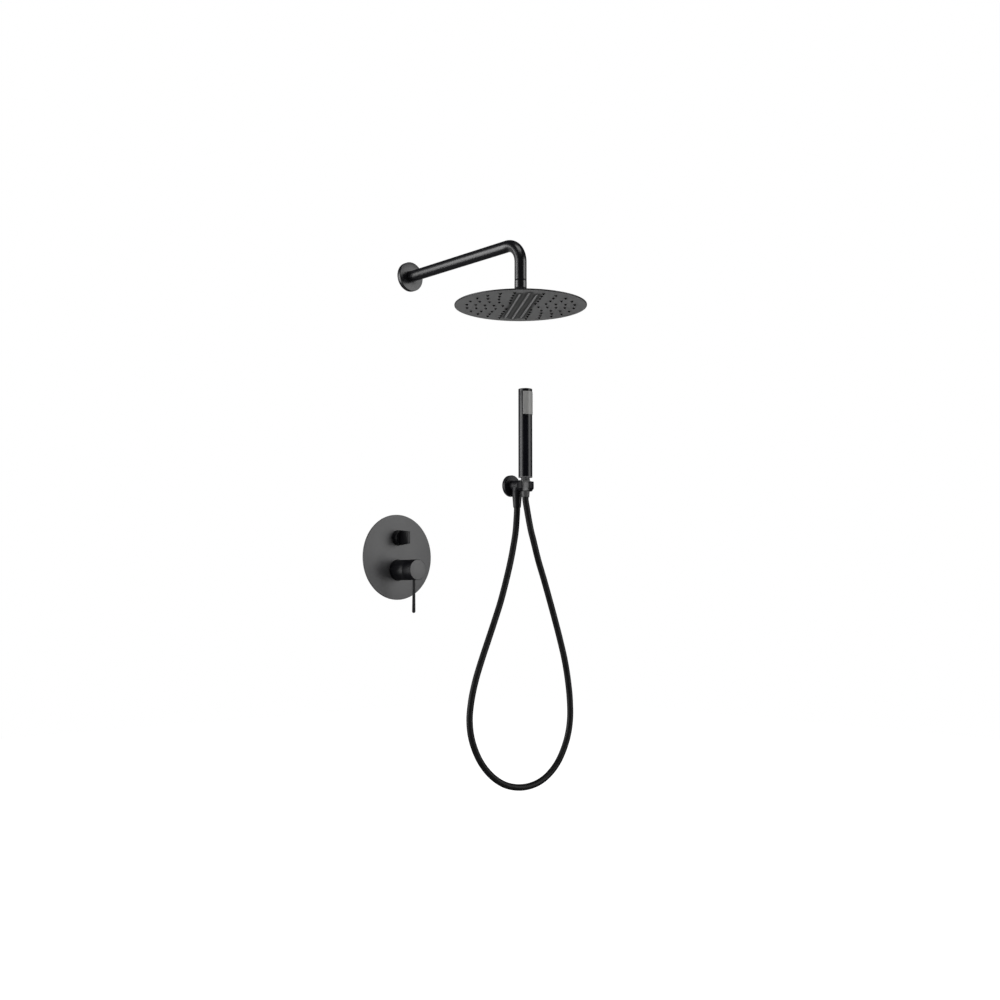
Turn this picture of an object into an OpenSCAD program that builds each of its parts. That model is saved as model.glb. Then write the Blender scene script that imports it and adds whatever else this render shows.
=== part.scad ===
// Concealed rain shower set: a wall arm with a swivelling rain head, a single-lever
// mixer with a two-way diverter, and a wall outlet with a cradle, hose and stick handset.
// Millimetres. The origin is on the finished wall at the centre of the mixer's plate.
// +X is to the right, +Y goes into the wall, +Z is up, so the room is on the -Y side.

/* [Layout on the wall] */
// Arm's centre line, to the right of the plate's centre
arm_x = 27; // [-150:1:150]
// Arm's centre line, above the plate's centre
arm_z = 589; // [450:1:900]
// Outlet's centre line, to the right of the plate's centre
outlet_x = 317; // [250:1:500]
// Outlet's centre line, above the plate's centre
outlet_z = 165.5; // [120:0.5:250]

/* [Arm] */
// Outside diameter of the arm's tube
arm_d = 23; // [22.5:0.1:26]
// Wall of the arm's tube
arm_wall = 1.5; // [1:0.1:2]
// From the wall to the middle of the arm's leg
arm_reach = 342; // [250:1:450]
// Radius of the bend, to the middle of the tube
arm_bend_r = 38; // [30:1:60]
// From the middle of the straight run down to the leg's end
arm_drop = 72; // [65:1:120]
// Diameter of the arm's wall flange
arm_flange_d = 61; // [50:1:80]
// Depth of the arm's wall flange
arm_flange_h = 9; // [7:0.5:15]
// Wall of both flanges
flange_wall = 1.5; // [1:0.1:2.5]
// Rounding of the flanges' front edge
flange_round = 1.2; // [0.5:0.1:1.5]

/* [Half-inch threads] */
// Outside diameter of the pipe thread
thread_d = 20.96; // [20.5:0.01:21.5]
// Core diameter of the tapped holes
tap_d = 18.64; // [18:0.01:19]
// Length of the threads that go into the wall
thread_l = 14; // [10:0.5:18]
// Bore of the threaded ends
water_d = 13; // [10:0.5:14]
// Play between rigid pieces that are screwed or pushed together
slip = 0.05; // [0.02:0.01:0.08]
// Radial play of pieces that turn or slide on each other
run = 0.08; // [0.04:0.01:0.1]

/* [Swivel joint] */
// Diameter of the ball
ball_d = 18; // [16:0.2:18.6]
// Outside diameter of the collar nut
collar_d = 24.6; // [23.6:0.1:28]
// Height of the collar nut
collar_h = 22.5; // [21.5:0.5:26]
// Height of the lip that holds the ball
lip_h = 5; // [4:0.1:5.5]
// Length of thread in the collar nut
collar_grip = 7; // [6:0.5:8]
// Diameter of the stem under the ball
stem_d = 10; // [9:0.2:11]
// Bore of the stem
stem_bore_d = 6; // [4:0.2:7]
// Thickness of the sealing washer in the collar
washer_t = 1.5; // [1:0.1:1.8]

/* [Rain head] */
// Diameter of the head
head_d = 250; // [230:1:320]
// From the ball's centre down to the underside of the face
head_drop = 33.5; // [31:0.5:45]
// Thickness of the face sheet
face_t = 1; // [0.8:0.1:1.4]
// Thickness of the upper sheet
shell_t = 1.2; // [0.8:0.1:1.4]
// Width of the flat rim
rim_w = 13; // [8:0.5:18]
// Height of the upper sheet next to the rim
shell_low = 4.6; // [4.6:0.1:8]
// Height of the upper sheet at the boss
shell_high = 6.4; // [6.2:0.1:12]
// Diameter of the raised boss
boss_d = 84; // [60:1:110]
// Diameter of the connector on top of the head
hub_d = 30; // [26:1:36]
// Diameter of the spigot in the connector
spigot_d = 16; // [14:0.5:18]
// Thickness of the soft nozzle mat
mat_t = 2; // [1.5:0.1:2.2]
// Rings of nozzles are this far apart
nozzle_pitch = 17; // [14:0.5:17]
// Number of the outermost nozzle ring, counted from the centre
nozzle_rings = 6; // [4:1:6]
// Diameter of a nozzle's root
nozzle_d = 4.6; // [3:0.1:5]
// How far a nozzle stands out of the face
nozzle_out = 2.4; // [1:0.1:3]
// Bore of a nozzle
nozzle_bore_d = 0.9; // [0.6:0.1:1.2]
// Half of the width that the pressed beads keep free of nozzles
bead_clear = 17; // [15:0.5:22]
// Direction of the pressed beads, from the X axis
bead_angle = 55.7; // [0:0.1:180]
// Half of the width over the outer beads
bead_spread = 15.5; // [12:0.5:18]
// Length of the middle bead
bead_l = 204; // [150:1:215]
// Radius of a bead's rounding
bead_r = 2.4; // [2:0.1:3.5]
// How far a bead stands out of the face
bead_out = 0.8; // [0.5:0.1:1]

/* [Mixer plate] */
// Diameter of the cover plate
plate_d = 174; // [168:1:200]
// Thickness of the cover plate
plate_t = 3; // [2.5:0.1:5]
// Rounding of the plate's front edge
plate_round = 0.8; // [0.3:0.1:1]
// Depth of the recess in the plate's back
plate_recess = 1.2; // [0.9:0.1:1.4]
// Thickness of the foam gasket on the wall
gasket_t = 1; // [0.6:0.1:1.4]
// Width of the foam gasket
gasket_w = 10; // [8:0.5:12]
// Diameter of the steel carrier under the plate
carrier_d = 148; // [140:1:150]
// Thickness of the carrier
carrier_t = 1.5; // [1:0.1:1.6]
// Width of the rubber rings round the two sleeves
ring_w = 1.2; // [0.8:0.1:2]

/* [Lever] */
// Height of the lever's axis, from the plate's centre
lever_z = -26.5; // [-30:0.5:-26]
// Diameter of the lever and its sleeve
lever_d = 41.5; // [41:0.1:44]
// From the wall to the joint between sleeve and lever
lever_split = 43; // [41:0.5:48]
// From the wall to the lever's front
lever_front = 70; // [68:0.5:80]
// From the wall to the tilting pin of the lever
pivot_y = 30; // [29:0.5:31]
// Gap between the sleeve's dome and the lever
dome_gap = 0.4; // [0.3:0.05:0.6]
// Opening in the dome that the stem swings in
dome_hole_d = 33; // [31:0.5:34]
// Wall of the sleeve's dome
dome_wall = 2; // [1.5:0.1:2.5]
// Distance of the pin lever from the wall
pin_y = 57; // [56.5:0.5:60]
// Thin end of the pin lever, at the lever's body
pin_thin_d = 5.2; // [4.4:0.1:5.4]
// Thick end of the pin lever
pin_thick_d = 7; // [5.5:0.1:8]
// Length of the pin lever below the lever's body
pin_l = 66; // [50:1:80]
// Size of the square stem in the lever
stem_sq = 8; // [7:0.1:8.4]

/* [Diverter] */
// Height of the diverter's axis, from the plate's centre
diverter_z = 39.5; // [38:0.5:42]
// Diameter of the diverter's knob
diverter_d = 30; // [30:0.1:32]
// From the wall to the joint between its sleeve and its knob
diverter_split = 8; // [7.6:0.1:9]
// From the wall to the front of the knob's round base
diverter_base = 15.5; // [15:0.1:18]
// From the wall to the front of the blade grip
diverter_front = 40; // [34:0.5:48]
// Thickness of the blade grip
blade_t = 6.5; // [5:0.1:8]
// Height of the blade grip at its front
blade_tip = 24.5; // [18:0.1:27]
// Diameter of the diverter's spindle
spindle_d = 8; // [7:0.1:9]

/* [Valve body in the wall] */
// Depth of the valve body behind the finished wall
valve_depth = 48; // [46:0.5:60]
// From one end of the supply branches to the other
valve_width = 90; // [84:1:110]
// Diameter of the supply branches
branch_d = 29; // [26:0.5:30]
// Depth of the tapped holes
tap_l = 14; // [10:0.5:15]
// Diameter of the mixing cartridge
cartridge_d = 35; // [34:0.1:35.4]
// Diameter of the diverter cartridge
diverter_cartridge_d = 25; // [24:0.1:25.4]
// Distance between the two fixing holes
lug_span = 68; // [64:1:76]
// Diameter of the fixing holes
lug_hole_d = 5.5; // [4:0.1:6.5]
// Distance between the lower carrier screws
low_screw_span = 68; // [64:1:72]
// Distance between the upper carrier screws
high_screw_span = 48; // [46:1:56]
// Diameter of the carrier screws
screw_d = 4; // [3:0.1:4.5]

/* [Hand outlet] */
// Diameter of the outlet's wall flange
outlet_flange_d = 48; // [44:1:65]
// Depth of the outlet's wall flange
outlet_flange_h = 8.5; // [7:0.5:11]
// Diameter of the outlet's body
outlet_d = 23; // [22.6:0.1:26]
// From the wall to the outlet's downward nozzle
nozzle_y = 23; // [22:0.5:25]
// From the body's centre line down to the hose nut
nozzle_drop = 13; // [12.5:0.1:15]
// From the wall to the middle of the cradle
cradle_y = 50; // [49.5:0.5:54]
// Outside diameter of the cradle
cradle_d = 37; // [35:0.5:42]
// Height of the cradle
cradle_h = 21; // [18:0.5:24]
// How far the cradle's middle lies below the body's centre line
cradle_low = 4; // [2:0.5:5]
// Width of the cradle's slot
slot_w = 16; // [15:0.1:17.5]
// Direction that the slot faces, to the left of straight ahead
slot_angle = 40; // [0:1:60]
// Height of the taper under the cradle
cradle_taper = 6; // [3:0.5:9]
// Radial gap between the cradle and the cone that rests in it
seat_gap = 0.3; // [0.3:0.05:0.5]

/* [Check valve] */
// Diameter of the check valve's body
check_d = 14.9; // [14.5:0.1:15.2]
// Height of the check valve's body
check_h = 12; // [11:0.5:12]
// Diameter of the poppet
poppet_d = 9.6; // [8.5:0.1:10.4]
// Diameter of the poppet's stem
poppet_stem_d = 2.4; // [2:0.1:3]
// Wire of the spring
wire_d = 0.7; // [0.5:0.1:0.9]
// Turns of the spring
spring_turns = 4; // [3:1:5]

/* [Hose] */
// Outside diameter of the hose
hose_d = 14; // [12:0.5:14]
// Length of the cone nut at each end
nut_l = 36; // [30:0.5:37]
// Diameter of the cone nut's threaded end
nut_wide = 23; // [22.6:0.1:24]
// Diameter of the cone nut's hose end
nut_narrow = 17; // [16.4:0.1:18]
// Length of thread in the cone nut
nut_grip = 6; // [5:0.5:7]
// Thickness of the hose washers
seal_t = 2; // [1.5:0.1:2.5]
// Diameter of the ferrule's flange
ferrule_d = 18; // [17:0.1:18.4]
// Thickness of the ferrule's flange
ferrule_t = 2.5; // [2:0.1:3]

/* [Handset] */
// Diameter of the stick
stick_d = 31; // [27:0.1:32]
// Length of the stick
stick_l = 197.5; // [180:0.5:230]
// Wall of the stick
stick_wall = 1.2; // [1:0.1:1.8]
// How far the upper hose nut stands above the body's centre line
nut_rise = 8.5; // [8:0.5:9.5]
// Bare thread between the hose nut and the stick
neck_l = 7.4; // [7:0.1:12]
// Height of the stick's end cap
cap_h = 6.3; // [5:0.1:10]
// Height of the spray face
spray_h = 51.6; // [40:0.1:65]
// Half of the angle that the spray face covers
spray_half = 62; // [40:1:75]
// How far the spray face stands out of the stick
spray_out = 0.8; // [0.3:0.1:1.2]
// Rows of jets in the spray face
jet_rows = 9; // [5:1:10]
// Columns of jets in the spray face
jet_columns = 5; // [3:2:7]
// Diameter of a jet
jet_d = 1.1; // [0.8:0.1:1.4]
// Outside diameter of the water tube in the stick
inner_tube_d = 12; // [10:0.5:13]

/* [Hidden] */
$fn = 64;

BLACK = "#2b2c2e";
GREY = "#8d9092";
BRASS = "#b5934d";
STEEL = "#a9adb0";
RUBBER = "#1d1d1e";
WHITE = "#d9d9d4";

cut = 1;                // cutters run this far past the faces that they open
facing = 0.3;           // gap between moving faces that don't guide each other
arm_r = arm_d / 2;
thread_r = thread_d / 2;
tap_r = tap_d / 2;
water_r = water_d / 2;
arm_bore_r = arm_r - arm_wall;
fitting_l = 12;         // length of a threaded end's spigot in the tube
grommet_w = 3;
grommet_t = 2.5;

// Swivel joint, measured down from the leg's end
leg_end = arm_z - arm_drop;
ball_r = ball_d / 2;
collar_r = collar_d / 2;
collar_bottom = leg_end - collar_h;
ball_z = collar_bottom + lip_h;
socket_r = ball_r + run;
collar_bore_r = thread_r + slip;
ledge_z = ball_z + 0.5; // where the collar's bore meets its ball seat
ball_top = ball_r * 0.75;
strainer_t = 0.4;
strainer_h = 3;
grip_z = leg_end - collar_grip;
washer_z = grip_z - strainer_t - washer_t;

// Head, measured up from the underside of the face
head_r = head_d / 2;
head_z = ball_z - head_drop;
hub_z = head_z + shell_high;
stem_flange_t = 1.5;
stem_flange_r = 10.5;
hub_h = 6.6;
hub_r = hub_d / 2;
spigot_r = spigot_d / 2;
boss_r = boss_d / 2;
step_w = 4;             // width of the two sloping steps of the upper sheet
shell_mid = shell_high - 0.8;
mat_r = head_r - rim_w - step_w - 2;
nozzle_r = nozzle_d / 2;
nozzle_tip_r = nozzle_r * 0.65;
mat_edge = 1;           // from the outermost nozzles to the edge of the mat

// Mixer plate, measured out from the wall
plate_r = plate_d / 2;
plate_front = gasket_t + plate_t;
recess_floor = gasket_t + plate_recess;
recess_r = plate_r - 5;
gasket_r = plate_r - 1;
lever_r = lever_d / 2;
diverter_r = diverter_d / 2;
carrier_gap = 2.6;      // from a sleeve to the edge of the carrier's hole
ring_overlap = 1.6;     // how far a rubber ring reaches over the carrier
screw_r = screw_d / 2;
screw_head_r = screw_r + 1.4;
screw_head_t = 0.9;
screw_l = 12;

// Mixing cartridge and lever
neck_wall = 1.8;
cartridge_r = cartridge_d / 2;
neck_r = cartridge_r + slip + neck_wall;
neck_end = 14;
cartridge_front = 10;
cartridge_back = -22;
fork_r = 12;
fork_seat = 2;          // bottom of the fork's seat in the cartridge
fork_end = pivot_y + 4;
fork_slot = 16;
pin_r = 1.5;
dome_r = sqrt(pow(lever_r, 2) + pow(lever_split - pivot_y, 2));
stem_front = lever_front - 8;
lever_screw_r = 2;

// Diverter
diverter_wall = 0.95;
diverter_neck_r = diverter_r - diverter_wall - slip;
diverter_cartridge_r = diverter_cartridge_d / 2;
diverter_neck_end = 3;
diverter_back = -26;
spindle_r = spindle_d / 2;
spindle_seat = 8;
spindle_end = diverter_base - 1;
knob_back = diverter_split + 0.4;
grub_r = 1.5;
grub_l = 6;
grub_y = (knob_back + spindle_end) / 2;

// Valve body
branch_r = branch_d / 2;
branch_y = 30;
chamber_r = cartridge_r + 6.5;
diverter_chamber_r = diverter_cartridge_r + 4.5;
chamber_front = -6;
lug_z = 5;
lug_t = 4;
lug_r = 7;
post_r = 5;
post_back = -20;
post_depth = 4;         // from the wall's face back to the posts
top_branch_z = 78;

// Outlet, cradle and hose ends
outlet_r = outlet_d / 2;
cradle_joint = nozzle_y + nut_wide / 2 + 0.5;
nozzle_body_r = thread_r + 0.42;
outlet_bore_r = 6;
cradle_r = cradle_d / 2;
cradle_z = outlet_z - cradle_low;
cradle_spigot_r = 6;
cradle_spigot_l = 3.5;
check_r = check_d / 2;
check_top = nozzle_drop + nut_grip - check_h;
check_seat = check_top + 3;
spider_t = 2;
check_end = check_top + check_h;
poppet_r = poppet_d / 2;
poppet_stem_r = poppet_stem_d / 2;
poppet_t = 1.3;
spring_r = poppet_stem_r + run + wire_d / 2 + 1;
hose_r = hose_d / 2;
nut_wide_r = nut_wide / 2;
nut_narrow_r = nut_narrow / 2;
ferrule_r = ferrule_d / 2;
swivel_play = 0.1;      // axial play of a ferrule in a nut that turns on it
ferrule_top = nut_grip + seal_t + swivel_play;
ferrule_shoulder = ferrule_top + ferrule_t;
tail_r = hose_r + 0.2;
wall_nut_z = outlet_z - nozzle_drop;
hand_nut_z = outlet_z + nut_rise;

// Handset
stick_r = stick_d / 2;
stick_z = hand_nut_z + neck_l;
stick_top = stick_z + stick_l;
collar_t = 1.6;
stick_bore_r = stick_r - stick_wall;
plug_r = stick_bore_r - slip;
plug_l = 12.4;
tube_seat = 8;
cap_z = stick_top - cap_h;
cap_plug = 3;
spray_z = cap_z - spray_h;
chamber_bottom = spray_z - 4;
chamber_top = cap_z - cap_plug;
inner_tube_r = inner_tube_d / 2;
inner_tube_wall = 1.2;
socket_l = 6;

// The hose's route, from the wall outlet down, round and up to the handset.
// It starts from the outlet's centre on the wall.
HOSE_ROUTE = [[0, -23, -26], [0, -23, -38], [0, -23, -51], [-1, -23, -68],
    [-5, -24, -100], [-10, -24, -126], [-20, -24, -166], [-33, -24, -208],
    [-49, -23, -256], [-66, -22, -298], [-84, -21, -340], [-102, -20, -382],
    [-119, -20, -424], [-130, -19, -466], [-135, -19, -508], [-129, -20, -550],
    [-110, -23, -593], [-81, -27, -627], [-45, -32, -650], [-5, -38, -659],
    [34, -44, -655], [69, -48, -639], [98, -53, -609], [120, -56, -566],
    [130, -57, -523], [130, -57, -478], [124, -57, -433], [114, -57, -388],
    [101, -56, -344], [86, -55, -299], [70, -54, -254], [54, -53, -210],
    [37, -52, -166], [23, -51, -122], [16, -50, -99], [8, -50, -68],
    [4, -50, -51], [1, -50, -38], [0, -50, -30], [0, -50, -17], [0, -50, -4.5]];
// Depth of each end of the hose below its nut's upper face
wall_hose_depth = -HOSE_ROUTE[0][2] - nozzle_drop;
hand_hose_depth = nut_rise - HOSE_ROUTE[len(HOSE_ROUTE) - 1][2];

// ---- Shared shapes ----

// Puts children on the wall at x, z, with their z axis pointing into the room
module at_wall(x, z) {
    translate([x, 0, z]) rotate([90, 0, 0]) children();
}

// Puts children where the arm's leg ends, at height z
module at_leg(z) {
    translate([arm_x, -arm_reach, z]) children();
}

// Puts children on the handset's axis, at height z
module at_hand(z) {
    translate([outlet_x, -cradle_y, z]) children();
}

// Turns children so that their z axis points down the wall
module downwards() {
    rotate([90, 0, 0]) children();
}

module pipe(r, bore, h) {
    difference() {
        cylinder(r = r, h = h);
        translate([0, 0, -cut]) cylinder(r = bore, h = h + 2 * cut);
    }
}

// Round disc whose upper edge is rounded
module disc(r, h, edge) {
    rotate_extrude() {
        square([r - edge, h]);
        square([r, h - edge]);
        translate([r - edge, h - edge]) circle(r = edge, $fn = 24);
    }
}

// Shallow cup, open towards the wall, with a hole in its front
module flange_cup(r, h, hole) {
    difference() {
        disc(r, h, flange_round);
        translate([0, 0, -cut]) cylinder(r = r - flange_wall, h = h - flange_wall + cut);
        cylinder(r = hole, h = h + cut);
    }
}

// ---- Sweeping a round section along points ----

function unit(v) = v / norm(v);

// Point of a Catmull-Rom curve between b and c, at t from 0 to 1
function spline(a, b, c, d, t) =
    0.5 * (2 * b + (c - a) * t + (2 * a - 5 * b + 4 * c - d) * t * t
           + (3 * b - a - 3 * c + d) * t * t * t);

function refine(p, steps) = concat(
    [for (i = [0 : len(p) - 2]) for (s = [0 : steps - 1])
        spline(p[max(i - 1, 0)], p[i], p[i + 1], p[min(i + 2, len(p) - 1)], s / steps)],
    [p[len(p) - 1]]);

function heading(p, i) = unit(p[min(i + 1, len(p) - 1)] - p[max(i - 1, 0)]);

// Side vector of each ring, carried along so that the section doesn't twist
function carried(v, t) = unit(v - (v * t) * t);

function sides(p, v, i = 0) =
    i == len(p) ? [] : let (w = carried(v, heading(p, i))) concat([w], sides(p, w, i + 1));

function ring(c, t, v, r, n) =
    [for (k = [0 : n - 1]) c + r * (cos(360 * k / n) * v + sin(360 * k / n) * cross(t, v))];

module sweep(p, r, n, side) {
    v = sides(p, carried(side, heading(p, 0)));
    last = len(p) - 1;
    points = [for (i = [0 : last]) each ring(p[i], heading(p, i), v[i], r, n)];
    quads = [for (i = [0 : last - 1]) for (k = [0 : n - 1])
        let (a = i * n + k, b = i * n + (k + 1) % n)
        each [[a, a + n, b], [b, a + n, b + n]]];
    caps = [[for (k = [0 : n - 1]) k], [for (k = [n - 1 : -1 : 0]) last * n + k]];
    polyhedron(points, concat(quads, caps), convexity = 10);
}

// ---- Arm ----

module arm_flange() {
    color(BLACK) at_wall(arm_x, arm_z)
        flange_cup(arm_flange_d / 2, arm_flange_h, arm_r + 2 * slip);
}

module arm_grommet() {
    color(RUBBER) at_wall(arm_x, arm_z)
        translate([0, 0, arm_flange_h - flange_wall - grommet_t])
            pipe(arm_r + grommet_w, arm_r + slip, grommet_t);
}

// Straight run, bend and leg of one radius
module arm_path(r, over) {
    straight = arm_reach - arm_bend_r;
    translate([0, 0, -over]) cylinder(r = r, h = straight + over);
    translate([0, -arm_bend_r, straight]) rotate([0, -90, 0])
        rotate_extrude(angle = 90) translate([arm_bend_r, 0]) circle(r = r);
    translate([0, -arm_bend_r, arm_reach]) downwards()
        cylinder(r = r, h = arm_drop - arm_bend_r + over);
}

module arm_tube() {
    color(BLACK) at_wall(arm_x, arm_z) difference() {
        arm_path(arm_r, 0);
        arm_path(arm_bore_r, cut);
    }
}

// Threaded end with a spigot that is brazed into the tube
module threaded_end(length) {
    difference() {
        union() {
            translate([0, 0, -length]) cylinder(r = thread_r, h = length);
            cylinder(r = arm_bore_r - slip, h = fitting_l);
        }
        translate([0, 0, -length - cut])
            cylinder(r = water_r, h = length + fitting_l + 2 * cut);
    }
}

module arm_inlet() {
    color(BRASS) at_wall(arm_x, arm_z) threaded_end(thread_l);
}

module arm_outlet() {
    color(BRASS) at_leg(leg_end) threaded_end(collar_grip);
}

module collar_nut() {
    color(GREY) at_leg(0) difference() {
        translate([0, 0, collar_bottom]) cylinder(r = collar_r, h = collar_h);
        translate([0, 0, ledge_z]) cylinder(r = collar_bore_r, h = collar_h);
        translate([0, 0, ball_z]) sphere(r = socket_r);
    }
}

module collar_washer() {
    color(RUBBER) at_leg(washer_z) pipe(thread_r - slip, water_r, washer_t);
}

// Perforated cup inside the threaded end, with a rim that lies on the washer
module inlet_strainer() {
    cup_r = water_r - slip;
    color(STEEL) at_leg(grip_z) difference() {
        union() {
            cylinder(r = cup_r, h = strainer_h);
            translate([0, 0, -strainer_t]) cylinder(r = thread_r - 1, h = strainer_t);
        }
        translate([0, 0, -cut])
            cylinder(r = cup_r - strainer_t, h = strainer_h - strainer_t + cut);
        for (k = [1 : 2]) for (j = [0 : 6 * k - 1])
            rotate(j * 60 / k) translate([1.9 * k, 0, 0])
                cylinder(r = 0.6, h = strainer_h + cut, $fn = 16);
    }
}

// Low-friction ring that turns with the ball and seals it
module ball_ring() {
    ring_bottom = ledge_z + 0.1;
    ring_top = washer_z - facing;
    color(WHITE) at_leg(0) difference() {
        translate([0, 0, ring_bottom])
            cylinder(r = collar_bore_r - run, h = ring_top - ring_bottom);
        translate([0, 0, ball_z]) sphere(r = ball_r + run);
        translate([0, 0, ring_bottom]) cylinder(r = water_r, h = collar_h);
    }
}

module ball_stem() {
    color(BRASS) at_leg(0) difference() {
        union() {
            intersection() {
                translate([0, 0, ball_z]) sphere(r = ball_r);
                translate([-ball_r, -ball_r, ball_z - ball_r])
                    cube([ball_d, ball_d, ball_r + ball_top]);
            }
            translate([0, 0, hub_z + hub_h])
                cylinder(r = stem_d / 2, h = ball_z - hub_z - hub_h);
            translate([0, 0, hub_z + hub_h]) cylinder(r = stem_flange_r, h = stem_flange_t);
            translate([0, 0, hub_z - shell_t - 0.4])
                cylinder(r = spigot_r, h = hub_h + shell_t + 0.4);
        }
        translate([0, 0, head_z]) cylinder(r = stem_bore_d / 2, h = ball_z);
    }
}

// ---- Rain head ----

module head_hub() {
    chamfer = 2;
    color(BLACK) at_leg(hub_z) rotate_extrude() polygon([
        [spigot_r + slip, 0], [hub_r, 0], [hub_r, hub_h - chamfer],
        [hub_r - chamfer, hub_h], [spigot_r + slip, hub_h]]);
}

module head_shell() {
    rim = head_r - rim_w;
    low = rim - step_w;
    hole = spigot_r + slip;
    color(BLACK) at_leg(head_z) rotate_extrude() polygon([
        [hole, shell_high], [boss_r, shell_high], [boss_r + step_w, shell_mid],
        [low, shell_low], [rim, face_t + shell_t], [head_r, face_t + shell_t],
        [head_r, face_t], [rim - shell_t / 2, face_t],
        [low - shell_t / 2, shell_low - shell_t],
        [boss_r + step_w - shell_t / 2, shell_mid - shell_t],
        [boss_r - shell_t / 2, shell_high - shell_t], [hole, shell_high - shell_t]]);
}

// Nozzle places: rings of 8, 12, 16 and so on, as far out as the mat carries them,
// kept clear of the pressed beads
bead_normal = [sin(bead_angle), -cos(bead_angle)];
NOZZLES = [for (k = [2 : nozzle_rings]) for (j = [0 : 4 * k - 1])
    let (a = bead_angle + j * 90 / k,
         p = nozzle_pitch * k * [cos(a), sin(a)])
    if (abs(p * bead_normal) > bead_clear && norm(p) + nozzle_r + mat_edge < mat_r) p];

module nozzle_mat() {
    color(RUBBER) at_leg(head_z) difference() {
        union() {
            translate([0, 0, face_t]) cylinder(r = mat_r, h = mat_t);
            for (p = NOZZLES) translate([p[0], p[1], -nozzle_out])
                cylinder(r1 = nozzle_tip_r, r2 = nozzle_r, h = nozzle_out + face_t,
                         $fn = 16);
        }
        for (p = NOZZLES) translate([p[0], p[1], -nozzle_out - cut])
            cylinder(r = nozzle_bore_d / 2, h = nozzle_out + face_t + mat_t + 2 * cut,
                     $fn = 16);
    }
}

// Rounded bead pressed out of the face, at a distance from the head's centre
module bead(offset, length) {
    intersection() {
        rotate(bead_angle) translate([-length / 2, -offset, bead_r - bead_out])
            rotate([0, 90, 0]) cylinder(r = bead_r, h = length, $fn = 32);
        translate([-head_r, -head_r, -bead_out])
            cube([head_d, head_d, bead_out + face_t / 2]);
    }
}

module head_face() {
    color(GREY) at_leg(head_z) difference() {
        union() {
            cylinder(r = head_r, h = face_t);
            for (side = [-1 : 1]) bead(side * bead_spread, bead_l - 20 * abs(side));
        }
        for (p = NOZZLES) translate([p[0], p[1], -cut])
            cylinder(r = nozzle_r + slip, h = face_t + 2 * cut, $fn = 16);
    }
}

// ---- Mixer plate ----

module cover_plate() {
    color(GREY) difference() {
        at_wall(0, 0) translate([0, 0, gasket_t]) disc(plate_r, plate_t, plate_round);
        at_wall(0, 0) cylinder(r = recess_r, h = recess_floor);
        at_wall(0, lever_z) cylinder(r = lever_r + ring_w + slip, h = plate_front + cut);
        at_wall(0, diverter_z)
            cylinder(r = diverter_r + ring_w + slip, h = plate_front + cut);
    }
}

module plate_gasket() {
    color(RUBBER) at_wall(0, 0) pipe(gasket_r, gasket_r - gasket_w, gasket_t);
}

// Puts children at each of the four carrier screws
module at_screws() {
    for (side = [-1, 1]) {
        at_wall(side * low_screw_span / 2, lever_z) children();
        at_wall(side * high_screw_span / 2, diverter_z) children();
    }
}

module screw_shape(play) {
    over = play > 0 ? cut : 0;
    translate([0, 0, -screw_l]) cylinder(r = screw_r + play, h = screw_l + carrier_t);
    translate([0, 0, carrier_t - screw_head_t])
        cylinder(r = screw_head_r + play, h = screw_head_t + over);
}

module plate_carrier() {
    color(STEEL) difference() {
        at_wall(0, 0) cylinder(r = carrier_d / 2, h = carrier_t);
        at_wall(0, lever_z) translate([0, 0, -cut])
            cylinder(r = lever_r + carrier_gap, h = carrier_t + 2 * cut);
        at_wall(0, diverter_z) translate([0, 0, -cut])
            cylinder(r = diverter_r + carrier_gap, h = carrier_t + 2 * cut);
        at_screws() screw_shape(slip);
    }
}

module carrier_screws() {
    color(STEEL) at_screws() difference() {
        screw_shape(0);
        translate([-0.5, -screw_r, carrier_t - 0.5]) cube([1, screw_d, 1]);
    }
}

// Rubber ring between the plate and a sleeve, with a lip on the carrier
module sleeve_ring(r) {
    difference() {
        union() {
            translate([0, 0, carrier_t])
                cylinder(r = r + carrier_gap + ring_overlap, h = recess_floor - carrier_t);
            translate([0, 0, carrier_t])
                cylinder(r = r + ring_w, h = plate_front - 0.4 - carrier_t);
        }
        cylinder(r = r + slip, h = plate_front + cut);
    }
}

module lever_ring() {
    color(RUBBER) at_wall(0, lever_z) sleeve_ring(lever_r);
}

module diverter_ring() {
    color(RUBBER) at_wall(0, diverter_z) sleeve_ring(diverter_r);
}

// ---- Lever ----

// Tube with a ball-shaped front whose centre is the lever's tilting pin
module domed_tube(r, ball, back) {
    intersection() {
        translate([0, 0, back]) cylinder(r = r, h = pivot_y + ball - back);
        union() {
            translate([0, 0, back]) cylinder(r = r, h = pivot_y - back);
            translate([0, 0, pivot_y]) sphere(r = ball, $fn = 96);
        }
    }
}

module lever_sleeve() {
    back = chamber_front;
    color(BLACK) at_wall(0, lever_z) difference() {
        domed_tube(lever_r, dome_r, back);
        domed_tube(neck_r + slip, dome_r - dome_wall, back - cut);
        translate([0, 0, pivot_y]) cylinder(r = dome_hole_d / 2, h = dome_r);
    }
}

module lever_handle() {
    color(BLACK) at_wall(0, lever_z) difference() {
        translate([0, 0, lever_split]) disc(lever_r, lever_front - lever_split, 1);
        translate([0, 0, pivot_y]) sphere(r = dome_r + dome_gap, $fn = 96);
        translate([-stem_sq / 2 - slip, -stem_sq / 2 - slip, pivot_y])
            cube([stem_sq + 2 * slip, stem_sq + 2 * slip, stem_front - pivot_y]);
        translate([0, 0, pin_y]) downwards()
            cylinder(r = lever_screw_r + slip, h = lever_r + cut);
    }
}

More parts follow.
